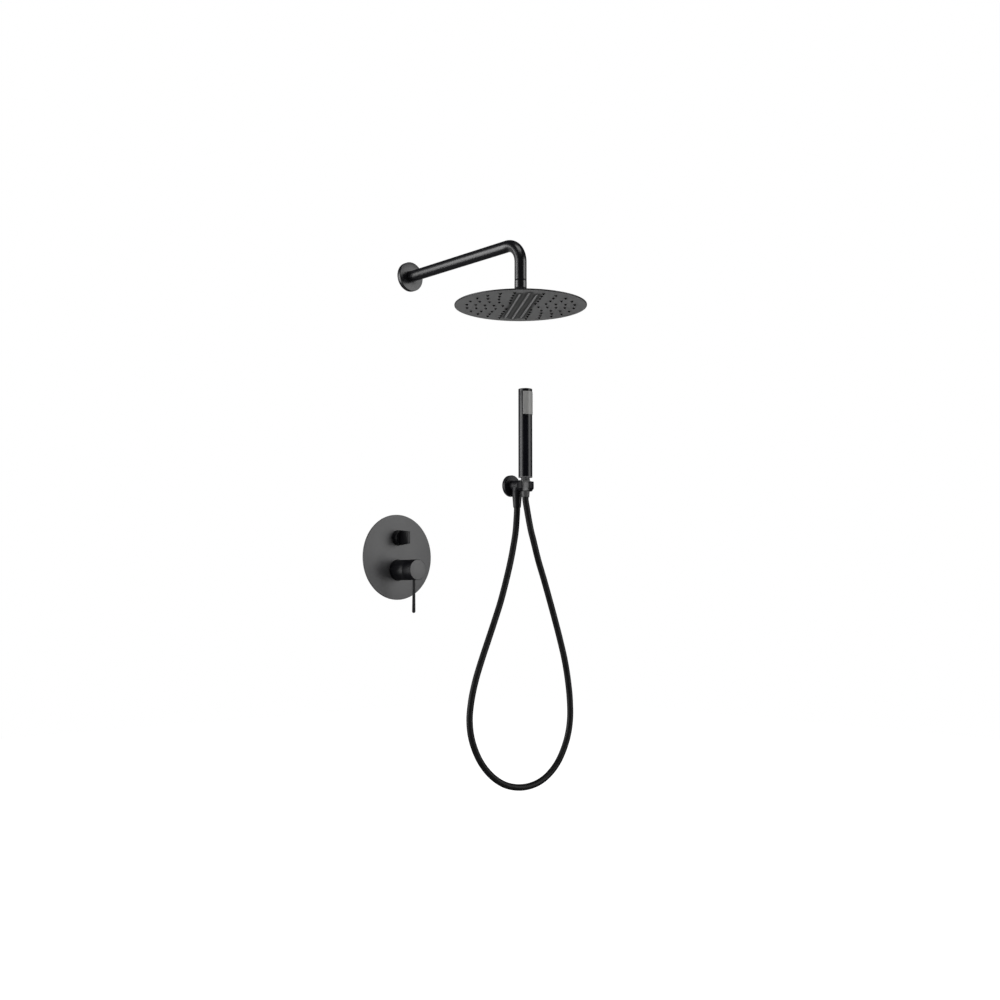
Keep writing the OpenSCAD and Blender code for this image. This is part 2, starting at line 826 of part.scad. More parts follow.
// Threaded at its thin end, which clamps the stem in the lever
module lever_pin() {
    tip_r = pin_thick_d / 2;
    color(BLACK) at_wall(0, lever_z) translate([0, 0, pin_y]) downwards() union() {
        translate([0, 0, stem_sq / 2])
            cylinder(r = lever_screw_r, h = lever_r - stem_sq / 2 + cut);
        translate([0, 0, lever_r])
            cylinder(r1 = pin_thin_d / 2, r2 = tip_r, h = pin_l - tip_r);
        translate([0, 0, lever_r + pin_l - tip_r]) sphere(r = tip_r, $fn = 32);
    }
}

module lever_stem() {
    color(BRASS) at_wall(0, lever_z) difference() {
        translate([-stem_sq / 2, -stem_sq / 2, pivot_y - 6])
            cube([stem_sq, stem_sq, stem_front - pivot_y + 6]);
        translate([-stem_sq, 0, pivot_y]) rotate([0, 90, 0])
            cylinder(r = pin_r + run, h = 2 * stem_sq, $fn = 32);
    }
}

// Turns in the cartridge with the lever, and carries its tilting pin
module stem_fork() {
    slot = stem_sq + 0.8;
    color(WHITE) at_wall(0, lever_z) difference() {
        translate([0, 0, fork_seat + facing])
            cylinder(r = fork_r, h = fork_end - fork_seat - facing);
        translate([-slot / 2, -fork_r - cut, fork_slot])
            cube([slot, 2 * fork_r + 2 * cut, fork_end]);
        translate([-fork_r - cut, 0, pivot_y]) rotate([0, 90, 0])
            cylinder(r = pin_r + slip, h = 2 * fork_r + 2 * cut, $fn = 32);
    }
}

module fork_pin() {
    length = 2 * fork_r - 1;
    color(STEEL) at_wall(0, lever_z) translate([-length / 2, 0, pivot_y])
        rotate([0, 90, 0]) cylinder(r = pin_r, h = length, $fn = 32);
}

module mixer_cartridge() {
    color(WHITE) at_wall(0, lever_z) difference() {
        translate([0, 0, cartridge_back])
            cylinder(r = cartridge_r, h = cartridge_front - cartridge_back);
        translate([0, 0, fork_seat]) cylinder(r = fork_r + run, h = cartridge_front);
    }
}

// Screwed into the neck, it holds the cartridge down
module cartridge_nut() {
    color(BRASS) at_wall(0, lever_z) difference() {
        union() {
            translate([0, 0, cartridge_front])
                cylinder(r = cartridge_r, h = neck_end - cartridge_front);
            translate([0, 0, neck_end]) cylinder(r = neck_r, h = 4);
        }
        translate([0, 0, cartridge_front - cut]) cylinder(r = fork_r + 0.6, h = neck_end);
    }
}

// ---- Diverter ----

module diverter_sleeve() {
    front_wall = 1.6;
    inside = diverter_split - front_wall - chamber_front;
    color(BLACK) at_wall(0, diverter_z) difference() {
        translate([0, 0, chamber_front])
            cylinder(r = diverter_r, h = diverter_split - chamber_front);
        translate([0, 0, chamber_front - cut])
            cylinder(r = diverter_neck_r + slip, h = inside + cut);
        cylinder(r = spindle_r + 2.5, h = diverter_split + cut);
    }
}

// Round base with a flat blade that narrows towards its front
module diverter_knob() {
    color(BLACK) at_wall(0, diverter_z) difference() {
        union() {
            translate([0, 0, knob_back]) disc(diverter_r, diverter_base - knob_back, 0.8);
            intersection() {
                translate([blade_t / 2, 0, 0]) rotate([0, -90, 0])
                    linear_extrude(height = blade_t) polygon([
                        [diverter_base - 2, -diverter_r], [diverter_base, -diverter_r],
                        [diverter_front, -blade_tip / 2], [diverter_front, blade_tip / 2],
                        [diverter_base, diverter_r], [diverter_base - 2, diverter_r]]);
                translate([0, 0, knob_back]) cylinder(r = diverter_r, h = diverter_front);
            }
        }
        cylinder(r = spindle_r + slip, h = spindle_end);
        translate([0, 0, grub_y]) downwards()
            cylinder(r = grub_r + slip, h = diverter_r + cut, $fn = 24);
    }
}

module diverter_screw() {
    color(STEEL) at_wall(0, diverter_z) translate([0, 0, grub_y]) downwards()
        difference() {
            translate([0, 0, spindle_r]) cylinder(r = grub_r, h = grub_l, $fn = 24);
            translate([0, 0, spindle_r + grub_l - 1.5])
                cylinder(r = 0.85, h = 2, $fn = 6);
        }
}

module diverter_spindle() {
    color(BRASS) at_wall(0, diverter_z) translate([0, 0, facing - spindle_seat])
        cylinder(r = spindle_r, h = spindle_end + spindle_seat - facing);
}

module diverter_cartridge() {
    color(WHITE) at_wall(0, diverter_z) difference() {
        translate([0, 0, diverter_back])
            cylinder(r = diverter_cartridge_r, h = -diverter_back);
        translate([0, 0, -spindle_seat]) cylinder(r = spindle_r + run, h = 2 * spindle_seat);
    }
}

module diverter_nut() {
    color(BRASS) at_wall(0, diverter_z) difference() {
        union() {
            cylinder(r = diverter_cartridge_r, h = diverter_neck_end);
            translate([0, 0, diverter_neck_end]) cylinder(r = diverter_neck_r, h = 2);
        }
        translate([0, 0, -cut]) cylinder(r = spindle_r + 1.5, h = diverter_neck_end + 4);
    }
}

// ---- Valve body ----

module valve_body() {
    half = valve_width / 2;
    color(BRASS) difference() {
        union() {
            // mixing chamber and diverter chamber with their necks
            at_wall(0, lever_z) {
                translate([0, 0, -valve_depth])
                    cylinder(r = chamber_r, h = valve_depth + chamber_front);
                translate([0, 0, chamber_front - cut])
                    cylinder(r = neck_r, h = neck_end - chamber_front + cut);
            }
            at_wall(0, diverter_z) {
                translate([0, 0, -valve_depth])
                    cylinder(r = diverter_chamber_r, h = valve_depth + chamber_front);
                translate([0, 0, chamber_front - cut])
                    cylinder(r = diverter_neck_r, h = diverter_neck_end - chamber_front + cut);
            }
            // bridge between the chambers
            translate([-14, 12, lever_z]) cube([28, valve_depth - 12, diverter_z - lever_z]);
            // supply branches, left and right
            translate([-half, branch_y, lever_z]) rotate([0, 90, 0])
                cylinder(r = branch_r, h = valve_width);
            // branch to the hand outlet, to the right
            translate([0, branch_y, diverter_z]) rotate([0, 90, 0])
                cylinder(r = branch_r, h = half);
            // branch to the rain head, upwards
            translate([0, branch_y, diverter_z])
                cylinder(r = branch_r, h = top_branch_z - diverter_z);
            // fixing lugs
            translate([-lug_span / 2, valve_depth - lug_t, lug_z - lug_r])
                cube([lug_span, lug_t, 2 * lug_r]);
            for (side = [-1, 1]) at_wall(side * lug_span / 2, lug_z)
                translate([0, 0, -valve_depth]) cylinder(r = lug_r, h = lug_t);
            // posts for the carrier's screws
            at_screws() translate([0, 0, post_back])
                cylinder(r = post_r, h = -post_back - post_depth);
            translate([-high_screw_span / 2, 8, diverter_z - post_r])
                cube([high_screw_span, -post_back - 8, 2 * post_r]);
        }
        // seats of the two cartridges
        at_wall(0, lever_z) translate([0, 0, cartridge_back])
            cylinder(r = cartridge_r + slip, h = valve_depth + neck_end);
        at_wall(0, diverter_z) translate([0, 0, diverter_back])
            cylinder(r = diverter_cartridge_r + slip, h = valve_depth);
        // tapped ends and their waterways
        for (side = [-1, 1]) translate([side * half, branch_y, lever_z])
            rotate([0, -90 * side, 0]) branch_bore(half - 8);
        translate([half, branch_y, diverter_z]) rotate([0, -90, 0]) branch_bore(half - 6);
        translate([0, branch_y, top_branch_z]) rotate([180, 0, 0])
            branch_bore(top_branch_z - diverter_z);
        // ports between the seats and the waterways
        for (side = [-1, 1]) at_wall(side * 12, lever_z) translate([0, 0, -branch_y])
            cylinder(r = 3.5, h = branch_y);
        translate([0, branch_y + 9, lever_z + 8]) cylinder(r = 4, h = diverter_z - lever_z);
        at_wall(0, lever_z + 11) translate([0, 0, -branch_y - 9])
            cylinder(r = 3.5, h = branch_y);
        at_screws() translate([0, 0, -screw_l - 2]) cylinder(r = screw_r + slip, h = 20);
        for (side = [-1, 1]) at_wall(side * lug_span / 2, lug_z)
            translate([0, 0, -valve_depth - cut])
                cylinder(r = lug_hole_d / 2, h = lug_t + 2 * cut);
    }
}

// Tapped hole with a narrower waterway behind it
module branch_bore(length) {
    translate([0, 0, -cut]) cylinder(r = tap_r, h = tap_l + cut);
    cylinder(r = 5, h = length);
}

// ---- Hand outlet ----

module outlet_flange() {
    color(BLACK) at_wall(outlet_x, outlet_z)
        flange_cup(outlet_flange_d / 2, outlet_flange_h, outlet_r + 2 * slip);
}

module outlet_grommet() {
    color(RUBBER) at_wall(outlet_x, outlet_z)
        translate([0, 0, outlet_flange_h - flange_wall - grommet_t])
            pipe(outlet_r + grommet_w, outlet_r + slip, grommet_t);
}

module outlet_body() {
    color(BLACK) at_wall(outlet_x, outlet_z) difference() {
        union() {
            translate([0, 0, -thread_l]) cylinder(r = thread_r, h = thread_l);
            cylinder(r = outlet_r, h = cradle_joint);
            translate([0, 0, nozzle_y]) downwards() {
                cylinder(r = nozzle_body_r, h = nozzle_drop);
                cylinder(r = thread_r, h = nozzle_drop + nut_grip);
            }
        }
        translate([0, 0, -thread_l - cut])
            cylinder(r = outlet_bore_r, h = thread_l + cut + nozzle_y);
        translate([0, 0, nozzle_y]) downwards() {
            cylinder(r = outlet_bore_r, h = check_top + cut);
            translate([0, 0, check_top]) cylinder(r = check_r + slip, h = check_h + cut);
        }
        translate([0, 0, cradle_joint - cradle_spigot_l])
            cylinder(r = cradle_spigot_r + slip, h = cradle_spigot_l + cut);
    }
}

// Open ring with a conical seat for the hose nut, and a slot that the hose passes
module hand_cradle() {
    half = cradle_h / 2;
    seat_wide = cone_r(hand_nut_z - cradle_z - half) + seat_gap;
    seat_narrow = cone_r(hand_nut_z - cradle_z + half) + seat_gap;
    color(BLACK) at_hand(cradle_z) {
        difference() {
            union() {
                rotate_extrude() polygon([[0, -half], [cradle_r - 4, -half],
                    [cradle_r, -half + cradle_taper], [cradle_r, half - 0.6],
                    [cradle_r - 0.6, half], [0, half]]);
                translate([0, cradle_y, cradle_low]) rotate([90, 0, 0])
                    cylinder(r = outlet_r, h = cradle_y - nut_narrow_r);
            }
            translate([-cradle_d, cradle_y - cradle_joint, -cradle_d])
                cube([2 * cradle_d, cradle_y, 2 * cradle_d]);
            translate([0, 0, -half]) cylinder(r1 = seat_narrow, r2 = seat_wide, h = cradle_h);
            translate([0, 0, -half - cut]) cylinder(r = seat_narrow, h = 2 * cut);
            translate([0, 0, half - 0.01]) cylinder(r = nut_wide_r + seat_gap, h = cradle_d);
            rotate(-slot_angle) translate([-slot_w / 2, -cradle_d, -cradle_d])
                cube([slot_w, cradle_d, 2 * cradle_d]);
        }
        translate([0, cradle_y - cradle_joint + cradle_spigot_l, cradle_low])
            rotate([90, 0, 0]) cylinder(r = cradle_spigot_r, h = cradle_spigot_l + cut);
    }
}

// Puts children on the nozzle's axis, with z measured down from the body's centre line
module in_nozzle() {
    at_wall(outlet_x, outlet_z) translate([0, 0, nozzle_y]) downwards() children();
}

module check_valve() {
    color(WHITE) in_nozzle() difference() {
        translate([0, 0, check_top]) cylinder(r = check_r, h = check_h);
        translate([0, 0, check_top - cut]) cylinder(r = poppet_r - 1.2, h = check_h - spider_t);
        translate([0, 0, check_seat])
            cylinder(r = poppet_r + 1, h = check_end - spider_t - check_seat);
        cylinder(r = poppet_stem_r + run, h = check_end + cut, $fn = 32);
        for (k = [0 : 4]) rotate(72 * k) translate([poppet_r - 1.1, 0, check_seat + cut])
            cylinder(r = 1.3, h = check_h, $fn = 24);
    }
}

module check_poppet() {
    color(WHITE) in_nozzle() {
        translate([0, 0, check_seat + 0.1]) cylinder(r = poppet_r, h = poppet_t);
        translate([0, 0, check_seat + 0.1])
            cylinder(r = poppet_stem_r, h = check_end - check_seat - 0.3, $fn = 32);
    }
}

module check_spring() {
    low = check_end - spider_t - wire_d / 2;
    high = check_seat + 0.1 + poppet_t + wire_d / 2;
    steps = 10 * spring_turns;
    path = [for (i = [0 : steps]) let (a = 36 * i)
        [spring_r * cos(a), spring_r * sin(a), high + (low - high) * i / steps]];
    color(STEEL) in_nozzle() sweep(path, wire_d / 2, 6, [1, 0, 0]);
}

// ---- Hose and its ends, each measured down from its nut's upper face ----

// Outside radius of the cone nut at a distance below its upper face
function cone_r(t) = nut_wide_r - (nut_wide_r - nut_narrow_r) * t / nut_l;

module hose_nut(play) {
    shoulder = ferrule_shoulder + play;
    rotate([180, 0, 0]) rotate_extrude() polygon([
        [thread_r + slip, 0], [nut_wide_r, 0], [nut_narrow_r, nut_l],
        [hose_r + facing, nut_l], [hose_r + facing, shoulder],
        [ferrule_r + run, shoulder], [ferrule_r + run, nut_grip + 0.2],
        [thread_r + slip, nut_grip + 0.2]]);
}

module hose_washer() {
    translate([0, 0, -nut_grip - seal_t]) pipe(ferrule_r, water_r - 1.5, seal_t);
}

// Flange that the nut pulls up, on a sleeve that reaches down to the hose
module hose_ferrule(depth) {
    difference() {
        union() {
            translate([0, 0, -ferrule_shoulder]) cylinder(r = ferrule_r, h = ferrule_t);
            translate([0, 0, -depth]) cylinder(r = tail_r, h = depth - ferrule_shoulder);
        }
        translate([0, 0, -depth - cut]) cylinder(r = 4.5, h = depth);
    }
}

module hose() {
    color(RUBBER) translate([outlet_x, 0, outlet_z])
        sweep(refine(HOSE_ROUTE, 2), hose_r, 8, [1, 0, 0]);
}

module wall_nut() {
    color(BLACK) translate([outlet_x, -nozzle_y, wall_nut_z]) hose_nut(0);
}

module wall_washer() {
    color(RUBBER) translate([outlet_x, -nozzle_y, wall_nut_z]) hose_washer();
}

module wall_ferrule() {
    color(BRASS) translate([outlet_x, -nozzle_y, wall_nut_z])
        hose_ferrule(wall_hose_depth);
}

module hand_nut() {
    color(GREY) at_hand(hand_nut_z) hose_nut(swivel_play);
}

module hand_washer() {
    color(RUBBER) at_hand(hand_nut_z) hose_washer();
}

module hand_ferrule() {
    color(BRASS) at_hand(hand_nut_z) hose_ferrule(hand_hose_depth);
}

// ---- Handset ----

module stick_connector() {
    color(GREY) at_hand(stick_z) difference() {
        union() {
            translate([0, 0, -neck_l - nut_grip])
                cylinder(r = thread_r, h = neck_l + nut_grip + cut);
            cylinder(r = stick_r, h = collar_t);
            cylinder(r = plug_r, h = collar_t + plug_l);
        }
        translate([0, 0, -neck_l - nut_grip - cut]) cylinder(r = 5, h = stick_l);
        translate([0, 0, tube_seat]) cylinder(r = inner_tube_r + slip, h = stick_l);
    }
}

// Part of a ring round the handset's axis, open over the spray's angle
module front_sector(inner, outer, half_angle, h) {
    rotate(-90 - half_angle) rotate_extrude(angle = 2 * half_angle)
        translate([inner, 0]) square([outer - inner, h]);
}

module stick_tube() {
    color(BLACK) at_hand(0) difference() {
        translate([0, 0, stick_z + collar_t])
            pipe(stick_r, stick_bore_r, cap_z - stick_z - collar_t);
        translate([0, 0, spray_z])
            front_sector(stick_bore_r - cut, stick_r + cut, spray_half, spray_h + cut);
    }
}

module water_tube() {
    color(WHITE) at_hand(stick_z + tube_seat)
        pipe(inner_tube_r, inner_tube_r - inner_tube_wall,
             chamber_bottom + socket_l - stick_z - tube_seat);
}

// Plastic block that feeds the jets, with a pocket behind the spray face
module spray_chamber() {
    pocket_edge = 3;
    color(WHITE) at_hand(0) difference() {
        translate([0, 0, chamber_bottom]) cylinder(r = plug_r, h = chamber_top - chamber_bottom);
        translate([0, 0, spray_z + pocket_edge])
            front_sector(plug_r - 4, plug_r + cut, spray_half - 8, spray_h - 4 * pocket_edge);
        translate([0, 0, chamber_bottom - cut])
            cylinder(r = inner_tube_r + slip, h = socket_l + cut);
        translate([0, 0, chamber_bottom]) cylinder(r = 4, h = 18);
        translate([0, 0, chamber_bottom + 14]) rotate([90, 0, 0])
            cylinder(r = 3, h = plug_r - 3);
    }
}

module spray_face() {
    column_step = 2 * (spray_half - 10) / (jet_columns - 1);
    row_step = (spray_h - 12) / (jet_rows - 1);
    color(GREY) at_hand(spray_z) difference() {
        front_sector(plug_r + slip, stick_r + spray_out, spray_half - 0.3, spray_h);
        for (c = [0 : jet_columns - 1]) for (k = [0 : jet_rows - 1])
            rotate(c * column_step - spray_half + 10)
                translate([0, 0, 6 + k * row_step]) rotate([90, 0, 0])
                    translate([0, 0, plug_r - cut])
                        cylinder(r = jet_d / 2, h = stick_r, $fn = 16);
    }
}

module stick_cap() {
    color(BLACK) at_hand(cap_z) {
        disc(stick_r, cap_h, 0.8);
        translate([0, 0, -cap_plug]) cylinder(r = plug_r, h = cap_plug + cut);
    }
}

arm_flange();
arm_grommet();
arm_tube();
arm_inlet();
arm_outlet();
collar_nut();
collar_washer();
inlet_strainer();
ball_ring();
ball_stem();
head_hub();
head_shell();
nozzle_mat();
head_face();
cover_plate();
plate_gasket();
plate_carrier();
carrier_screws();
lever_ring();
lever_sleeve();
lever_handle();
lever_pin();
lever_stem();
stem_fork();
fork_pin();
mixer_cartridge();
cartridge_nut();
diverter_ring();
diverter_sleeve();
diverter_knob();
diverter_screw();
diverter_spindle();
diverter_cartridge();
diverter_nut();
valve_body();
outlet_flange();
outlet_grommet();
outlet_body();
hand_cradle();
check_valve();
check_poppet();
check_spring();
hose();
wall_nut();
wall_washer();
wall_ferrule();
hand_nut();
hand_washer();
hand_ferrule();
stick_connector();
stick_tube();
water_tube();
spray_chamber();
spray_face();
stick_cap();
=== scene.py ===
"""Looks of a concealed rain shower set: rain arm and head, mixer, hand outlet with
cradle, hose and stick handset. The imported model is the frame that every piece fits."""

from math import atan2, cos, pi, radians, sin, sqrt, tan

import bmesh
import bpy
from mathutils import Matrix, Vector


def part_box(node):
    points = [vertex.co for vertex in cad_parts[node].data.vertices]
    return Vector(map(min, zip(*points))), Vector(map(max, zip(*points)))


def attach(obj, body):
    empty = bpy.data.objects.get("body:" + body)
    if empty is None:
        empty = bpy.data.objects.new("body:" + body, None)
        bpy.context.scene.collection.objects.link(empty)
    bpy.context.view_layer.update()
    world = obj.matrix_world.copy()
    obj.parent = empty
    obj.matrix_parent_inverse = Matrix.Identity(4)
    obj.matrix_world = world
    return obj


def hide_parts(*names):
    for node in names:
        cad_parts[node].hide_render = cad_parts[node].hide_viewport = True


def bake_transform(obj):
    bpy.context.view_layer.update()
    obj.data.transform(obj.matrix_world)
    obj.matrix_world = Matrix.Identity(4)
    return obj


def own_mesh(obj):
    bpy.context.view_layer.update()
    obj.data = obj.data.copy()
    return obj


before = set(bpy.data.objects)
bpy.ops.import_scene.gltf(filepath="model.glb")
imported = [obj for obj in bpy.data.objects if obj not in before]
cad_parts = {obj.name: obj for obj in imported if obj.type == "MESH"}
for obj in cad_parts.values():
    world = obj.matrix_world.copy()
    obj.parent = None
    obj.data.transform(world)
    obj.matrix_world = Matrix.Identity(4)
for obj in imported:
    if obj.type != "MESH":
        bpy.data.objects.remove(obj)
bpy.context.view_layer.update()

# ---- Studio ----
# The set hangs before a white surround. A large soft lamp on the right lights the
# plates, two on the left draw the second stripe along the tubes, one above lights the
# arm, and a dark room behind the camera keeps the middle of each tube black.

scene = bpy.context.scene
scene.view_settings.view_transform = "Standard"


def linked(name, data):
    """Object of a camera, lamp or mesh, linked to the scene."""
    made = bpy.data.objects.new(name, data)
    scene.collection.objects.link(made)
    return made


camera = linked("camera", bpy.data.cameras.new("camera"))
camera.location = (-1.504, -1.961, -0.076)
camera.rotation_euler = (radians(94.5), 0, radians(-42.4))
camera.data.sensor_width = 36
camera.data.lens = 43.2
camera.data.clip_end = 100
scene.camera = camera


class Signal:
    """One output socket of a node. Sums written with it add Math nodes."""

    def __init__(self, graph, socket):
        self.graph = graph
        self.socket = socket

    def __add__(self, other):
        return self.graph.math("ADD", self, other)

    __radd__ = __add__

    def __sub__(self, other):
        return self.graph.math("SUBTRACT", self, other)

    def __rsub__(self, other):
        return self.graph.math("SUBTRACT", other, self)

    def __mul__(self, other):
        return self.graph.math("MULTIPLY", self, other)

    __rmul__ = __mul__

    def __truediv__(self, other):
        return self.graph.math("DIVIDE", self, other)

    def __gt__(self, other):
        return self.graph.math("GREATER_THAN", self, other)

    def __lt__(self, other):
        return self.graph.math("LESS_THAN", self, other)


class Graph:
    """A node tree that is written down as plain calls."""

    def __init__(self, tree):
        self.tree = tree

    def node(self, kind, settings=None, inputs=None, output=0):
        """New node of this kind: its settings first, then its inputs' values or links."""
        made = self.tree.nodes.new(kind)
        for name, value in (settings or {}).items():
            if name == "stops":
                set_stops(made.color_ramp, value)
            else:
                setattr(made, name, value)
        for key, value in (inputs or {}).items():
            self.feed(made.inputs[key], value)
        return Signal(self, made.outputs[output])

    def math(self, operation, first, second=0.0):
        """Math node on one or two numbers."""
        return self.node("ShaderNodeMath", {"operation": operation}, {0: first, 1: second})

    def parts(self, vector):
        """The x, y and z of a vector."""
        split = self.node("ShaderNodeSeparateXYZ", None, {0: vector})
        return [Signal(self, socket) for socket in split.socket.node.outputs]

    def vector(self, **parts):
        """A vector of the parts given as X, Y and Z. Those left out are 0."""
        return self.node("ShaderNodeCombineXYZ", None, parts)

    def feed(self, socket, value):
        """Links a signal to an input, or sets its value."""
        if isinstance(value, Signal):
            self.tree.links.new(value.socket, socket)
        else:
            socket.default_value = value

    def end(self, kind, result):
        """Links the result to an output node of this kind."""
        self.feed(self.tree.nodes.new(kind).inputs[0], result)


def set_stops(ramp, stops):
    """Colour ramp stops from (place, colour) pairs."""
    while len(ramp.elements) > 1:
        ramp.elements.remove(ramp.elements[-1])
    for number, (place, colour) in enumerate(stops):
        stop = ramp.elements[0] if number == 0 else ramp.elements.new(place)
        stop.position = place
        stop.color = colour


def empty_graph(owner):
    """Cleared node tree of a world or a material."""
    owner.use_nodes = True
    owner.node_tree.nodes.clear()
    return Graph(owner.node_tree)


surround = bpy.data.worlds.new("surround")
sky = empty_graph(surround)
_, depth, height = sky.parts(sky.node("ShaderNodeTexCoord", output="Generated"))


def flag(value, dark, bright):
    """Soft edge of a black flag, from 0 at dark to 1 at bright."""
    return sky.node("ShaderNodeMapRange", {"interpolation_type": "SMOOTHSTEP"},
                    {"Value": value, "From Min": dark, "From Max": bright})


room_bright = 0.4
room_dark = 0.02
fill = 0.35
behind_set = flag(depth, -0.1, 0.6) * flag(height, 0.62, 0.28) * room_bright + room_dark
shown = sky.node("ShaderNodeLightPath", output="Is Camera Ray")
mirrored = sky.node("ShaderNodeLightPath", output="Is Glossy Ray")
strength = shown + (1 - shown) * (mirrored * behind_set + (1 - mirrored) * fill)
white = (1, 1, 1, 1)
sky.end("ShaderNodeOutputWorld",
        sky.node("ShaderNodeBackground", None, {"Color": white, "Strength": strength}))
scene.world = surround


def softbox(name, place, aim, width, height, power):
    """Rectangular lamp that points from place to aim, all in metres and watts."""
    lamp = bpy.data.lights.new(name, "AREA")
    lamp.shape = "RECTANGLE"
    lamp.size = width
    lamp.size_y = height
    lamp.energy = power
    holder = linked(name, lamp)
    holder.location = place
    toward = Vector(aim) - Vector(place)
    holder.rotation_euler = toward.to_track_quat("-Z", "Y").to_euler()
    holder.visible_camera = False


softbox("lamp_right", (1.85, -2.6, 0.5), (0.15, -0.1, 0.2), 2.2, 2.6, 52)
softbox("lamp_left", (-2.4, 1.6, 0.1), (0.1, -0.1, 0.3), 1.4, 2.8, 70)
softbox("lamp_strip", (-2.6, 0.3, 0.3), (0.3, 0, 0.3), 0.7, 2.4, 14)
softbox("lamp_above", (-0.6, -1.2, 3.0), (0.1, -0.2, 0.3), 2.0, 1.2, 25)

floor_height = -1.36
floor_size = 18.0
floor_glow = 0.78
floor_pale = 0.86
floor_pale_mirrored = 0.12
bpy.ops.mesh.primitive_plane_add(size=floor_size, location=(0, 0, floor_height))
floor = bpy.context.object
floor.name = "floor"
floor_paint = bpy.data.materials.new("floor_paint")
ground = empty_graph(floor_paint)
to_camera = ground.node("ShaderNodeLightPath", output="Is Camera Ray")
glow = ground.node("ShaderNodeEmission", None,
                   {"Color": white, "Strength": floor_glow * to_camera})
to_gloss = ground.node("ShaderNodeLightPath", output="Is Glossy Ray")
pale = floor_pale - (floor_pale - floor_pale_mirrored) * to_gloss
matt = ground.node("ShaderNodeBsdfDiffuse", None, {"Color": pale})
ground.end("ShaderNodeOutputMaterial",
           ground.node("ShaderNodeAddShader", None, {0: glow, 1: matt}))
floor.data.materials.append(floor_paint)

# ---- Hose ----
# Smooth black hose with a spiral under its skin, 14 mm thick and about 1.5 m long.
# It hangs in one loop from the outlet's nozzle to the nut in the cradle.

MM = 0.001

outlet_low, outlet_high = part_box("outlet_flange")
outlet_centre = (outlet_low + outlet_high) / 2
outlet_centre.y = 0

HOSE_ROUTE = [
    (0, -.023, -.026), (0, -.023, -.038), (0, -.023, -.051), (-.001, -.023, -.068),
    (-.005, -.024, -.100), (-.010, -.024, -.126), (-.020, -.024, -.166),
    (-.033, -.024, -.208), (-.049, -.023, -.256), (-.066, -.022, -.298),
    (-.084, -.021, -.340), (-.102, -.020, -.382), (-.119, -.020, -.424),
    (-.130, -.019, -.466), (-.135, -.019, -.508), (-.129, -.020, -.550),
    (-.110, -.023, -.593), (-.081, -.027, -.627), (-.045, -.032, -.650),
    (-.005, -.038, -.659), (.034, -.044, -.655), (.069, -.048, -.639),
    (.098, -.053, -.609), (.120, -.056, -.566), (.130, -.057, -.523),
    (.130, -.057, -.478), (.124, -.057, -.433), (.114, -.057, -.388),
    (.101, -.056, -.344), (.086, -.055, -.299), (.070, -.054, -.254),
    (.054, -.053, -.210), (.037, -.052, -.166), (.023, -.051, -.122),
    (.016, -.050, -.099), (.008, -.050, -.068), (.004, -.050, -.051),
    (.001, -.050, -.038), (0, -.050, -.030), (0, -.050, -.017), (0, -.050, -.0045)]


def smooth_route(points, steps):
    """Points of a Catmull-Rom curve through a route."""
    route = []
    last = len(points) - 1
    for i in range(last):
        a, b = points[max(i - 1, 0)], points[i]
        c, d = points[i + 1], points[min(i + 2, last)]
        for k in range(steps):
            t = k / steps
            route.append(0.5 * (2 * b + (c - a) * t + (2 * a - 5 * b + 4 * c - d) * t ** 2
                                + (3 * b - a - 3 * c + d) * t ** 3))
    return route + [points[last]]


def swept(route, radii, sides):
    """Mesh of a round section carried along a route. Each radius in radii makes one
    wall, the second one a bore. UV is turns round the section and metres along it."""
    last = len(route) - 1
    side = Vector((1, 0, 0))
    rings = []
    for i, centre in enumerate(route):
        heading = (route[min(i + 1, last)] - route[max(i - 1, 0)]).normalized()
        side = (side - side.dot(heading) * heading).normalized()
        up = heading.cross(side)
        rings.append([(side * cos(2 * pi * k / sides) + up * sin(2 * pi * k / sides))
                      for k in range(sides)])
    along = [0.0]
    for i in range(last):
        along.append(along[-1] + (route[i + 1] - route[i]).length)
    build = bmesh.new()
    uv = build.loops.layers.uv.new("UVMap")
    walls = [[[build.verts.new(centre + radius * spoke) for spoke in ring]
              for centre, ring in zip(route, rings)] for radius in radii]
    for wall in walls:
        for i in range(last):
            for k in range(sides):
                after = (k + 1) % sides
                face = build.faces.new((wall[i][k], wall[i][after],
                                        wall[i + 1][after], wall[i + 1][k]))
                marks = ((k, i), (k + 1, i), (k + 1, i + 1), (k, i + 1))
                for loop, (turn, place) in zip(face.loops, marks):
                    loop[uv].uv = (turn / sides, along[place])
    for end in (0, last):
        if len(walls) == 1:
            build.faces.new(walls[0][end])
        else:
            for k in range(sides):
                after = (k + 1) % sides
                build.faces.new((walls[0][end][k], walls[0][end][after],
                                 walls[1][end][after], walls[1][end][k]))
    bmesh.ops.recalc_face_normals(build, faces=build.faces)
    return build


def mesh_of(name, build):
    """Mesh data of a finished build."""
    mesh = bpy.data.meshes.new(name)
    build.to_mesh(mesh)
    build.free()
    return mesh


def piece(name, build, paint, body, node, crease=35):
    """Object of a finished build that rides on a body and stands for a CAD node."""
    mesh = mesh_of(name, build)
    mesh.shade_smooth()
    mesh.set_sharp_from_angle(angle=radians(crease))
    mesh.materials.append(paint)
    made = linked(name, mesh)
    if body:
        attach(made, body)
    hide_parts(node)
    return made


def finish(slot, metallic=0.0, specular=0.5):
    """New material for a record slot, with its node graph and its shader's sockets."""
    paint = bpy.data.materials.new(slot)
    paint.use_nodes = True
    paint["slot"] = slot
    graph = Graph(paint.node_tree)
    shader = paint.node_tree.nodes["Principled BSDF"].inputs
    shader["Metallic"].default_value = metallic
    shader["Specular IOR Level"].default_value = specular
    return paint, graph, shader


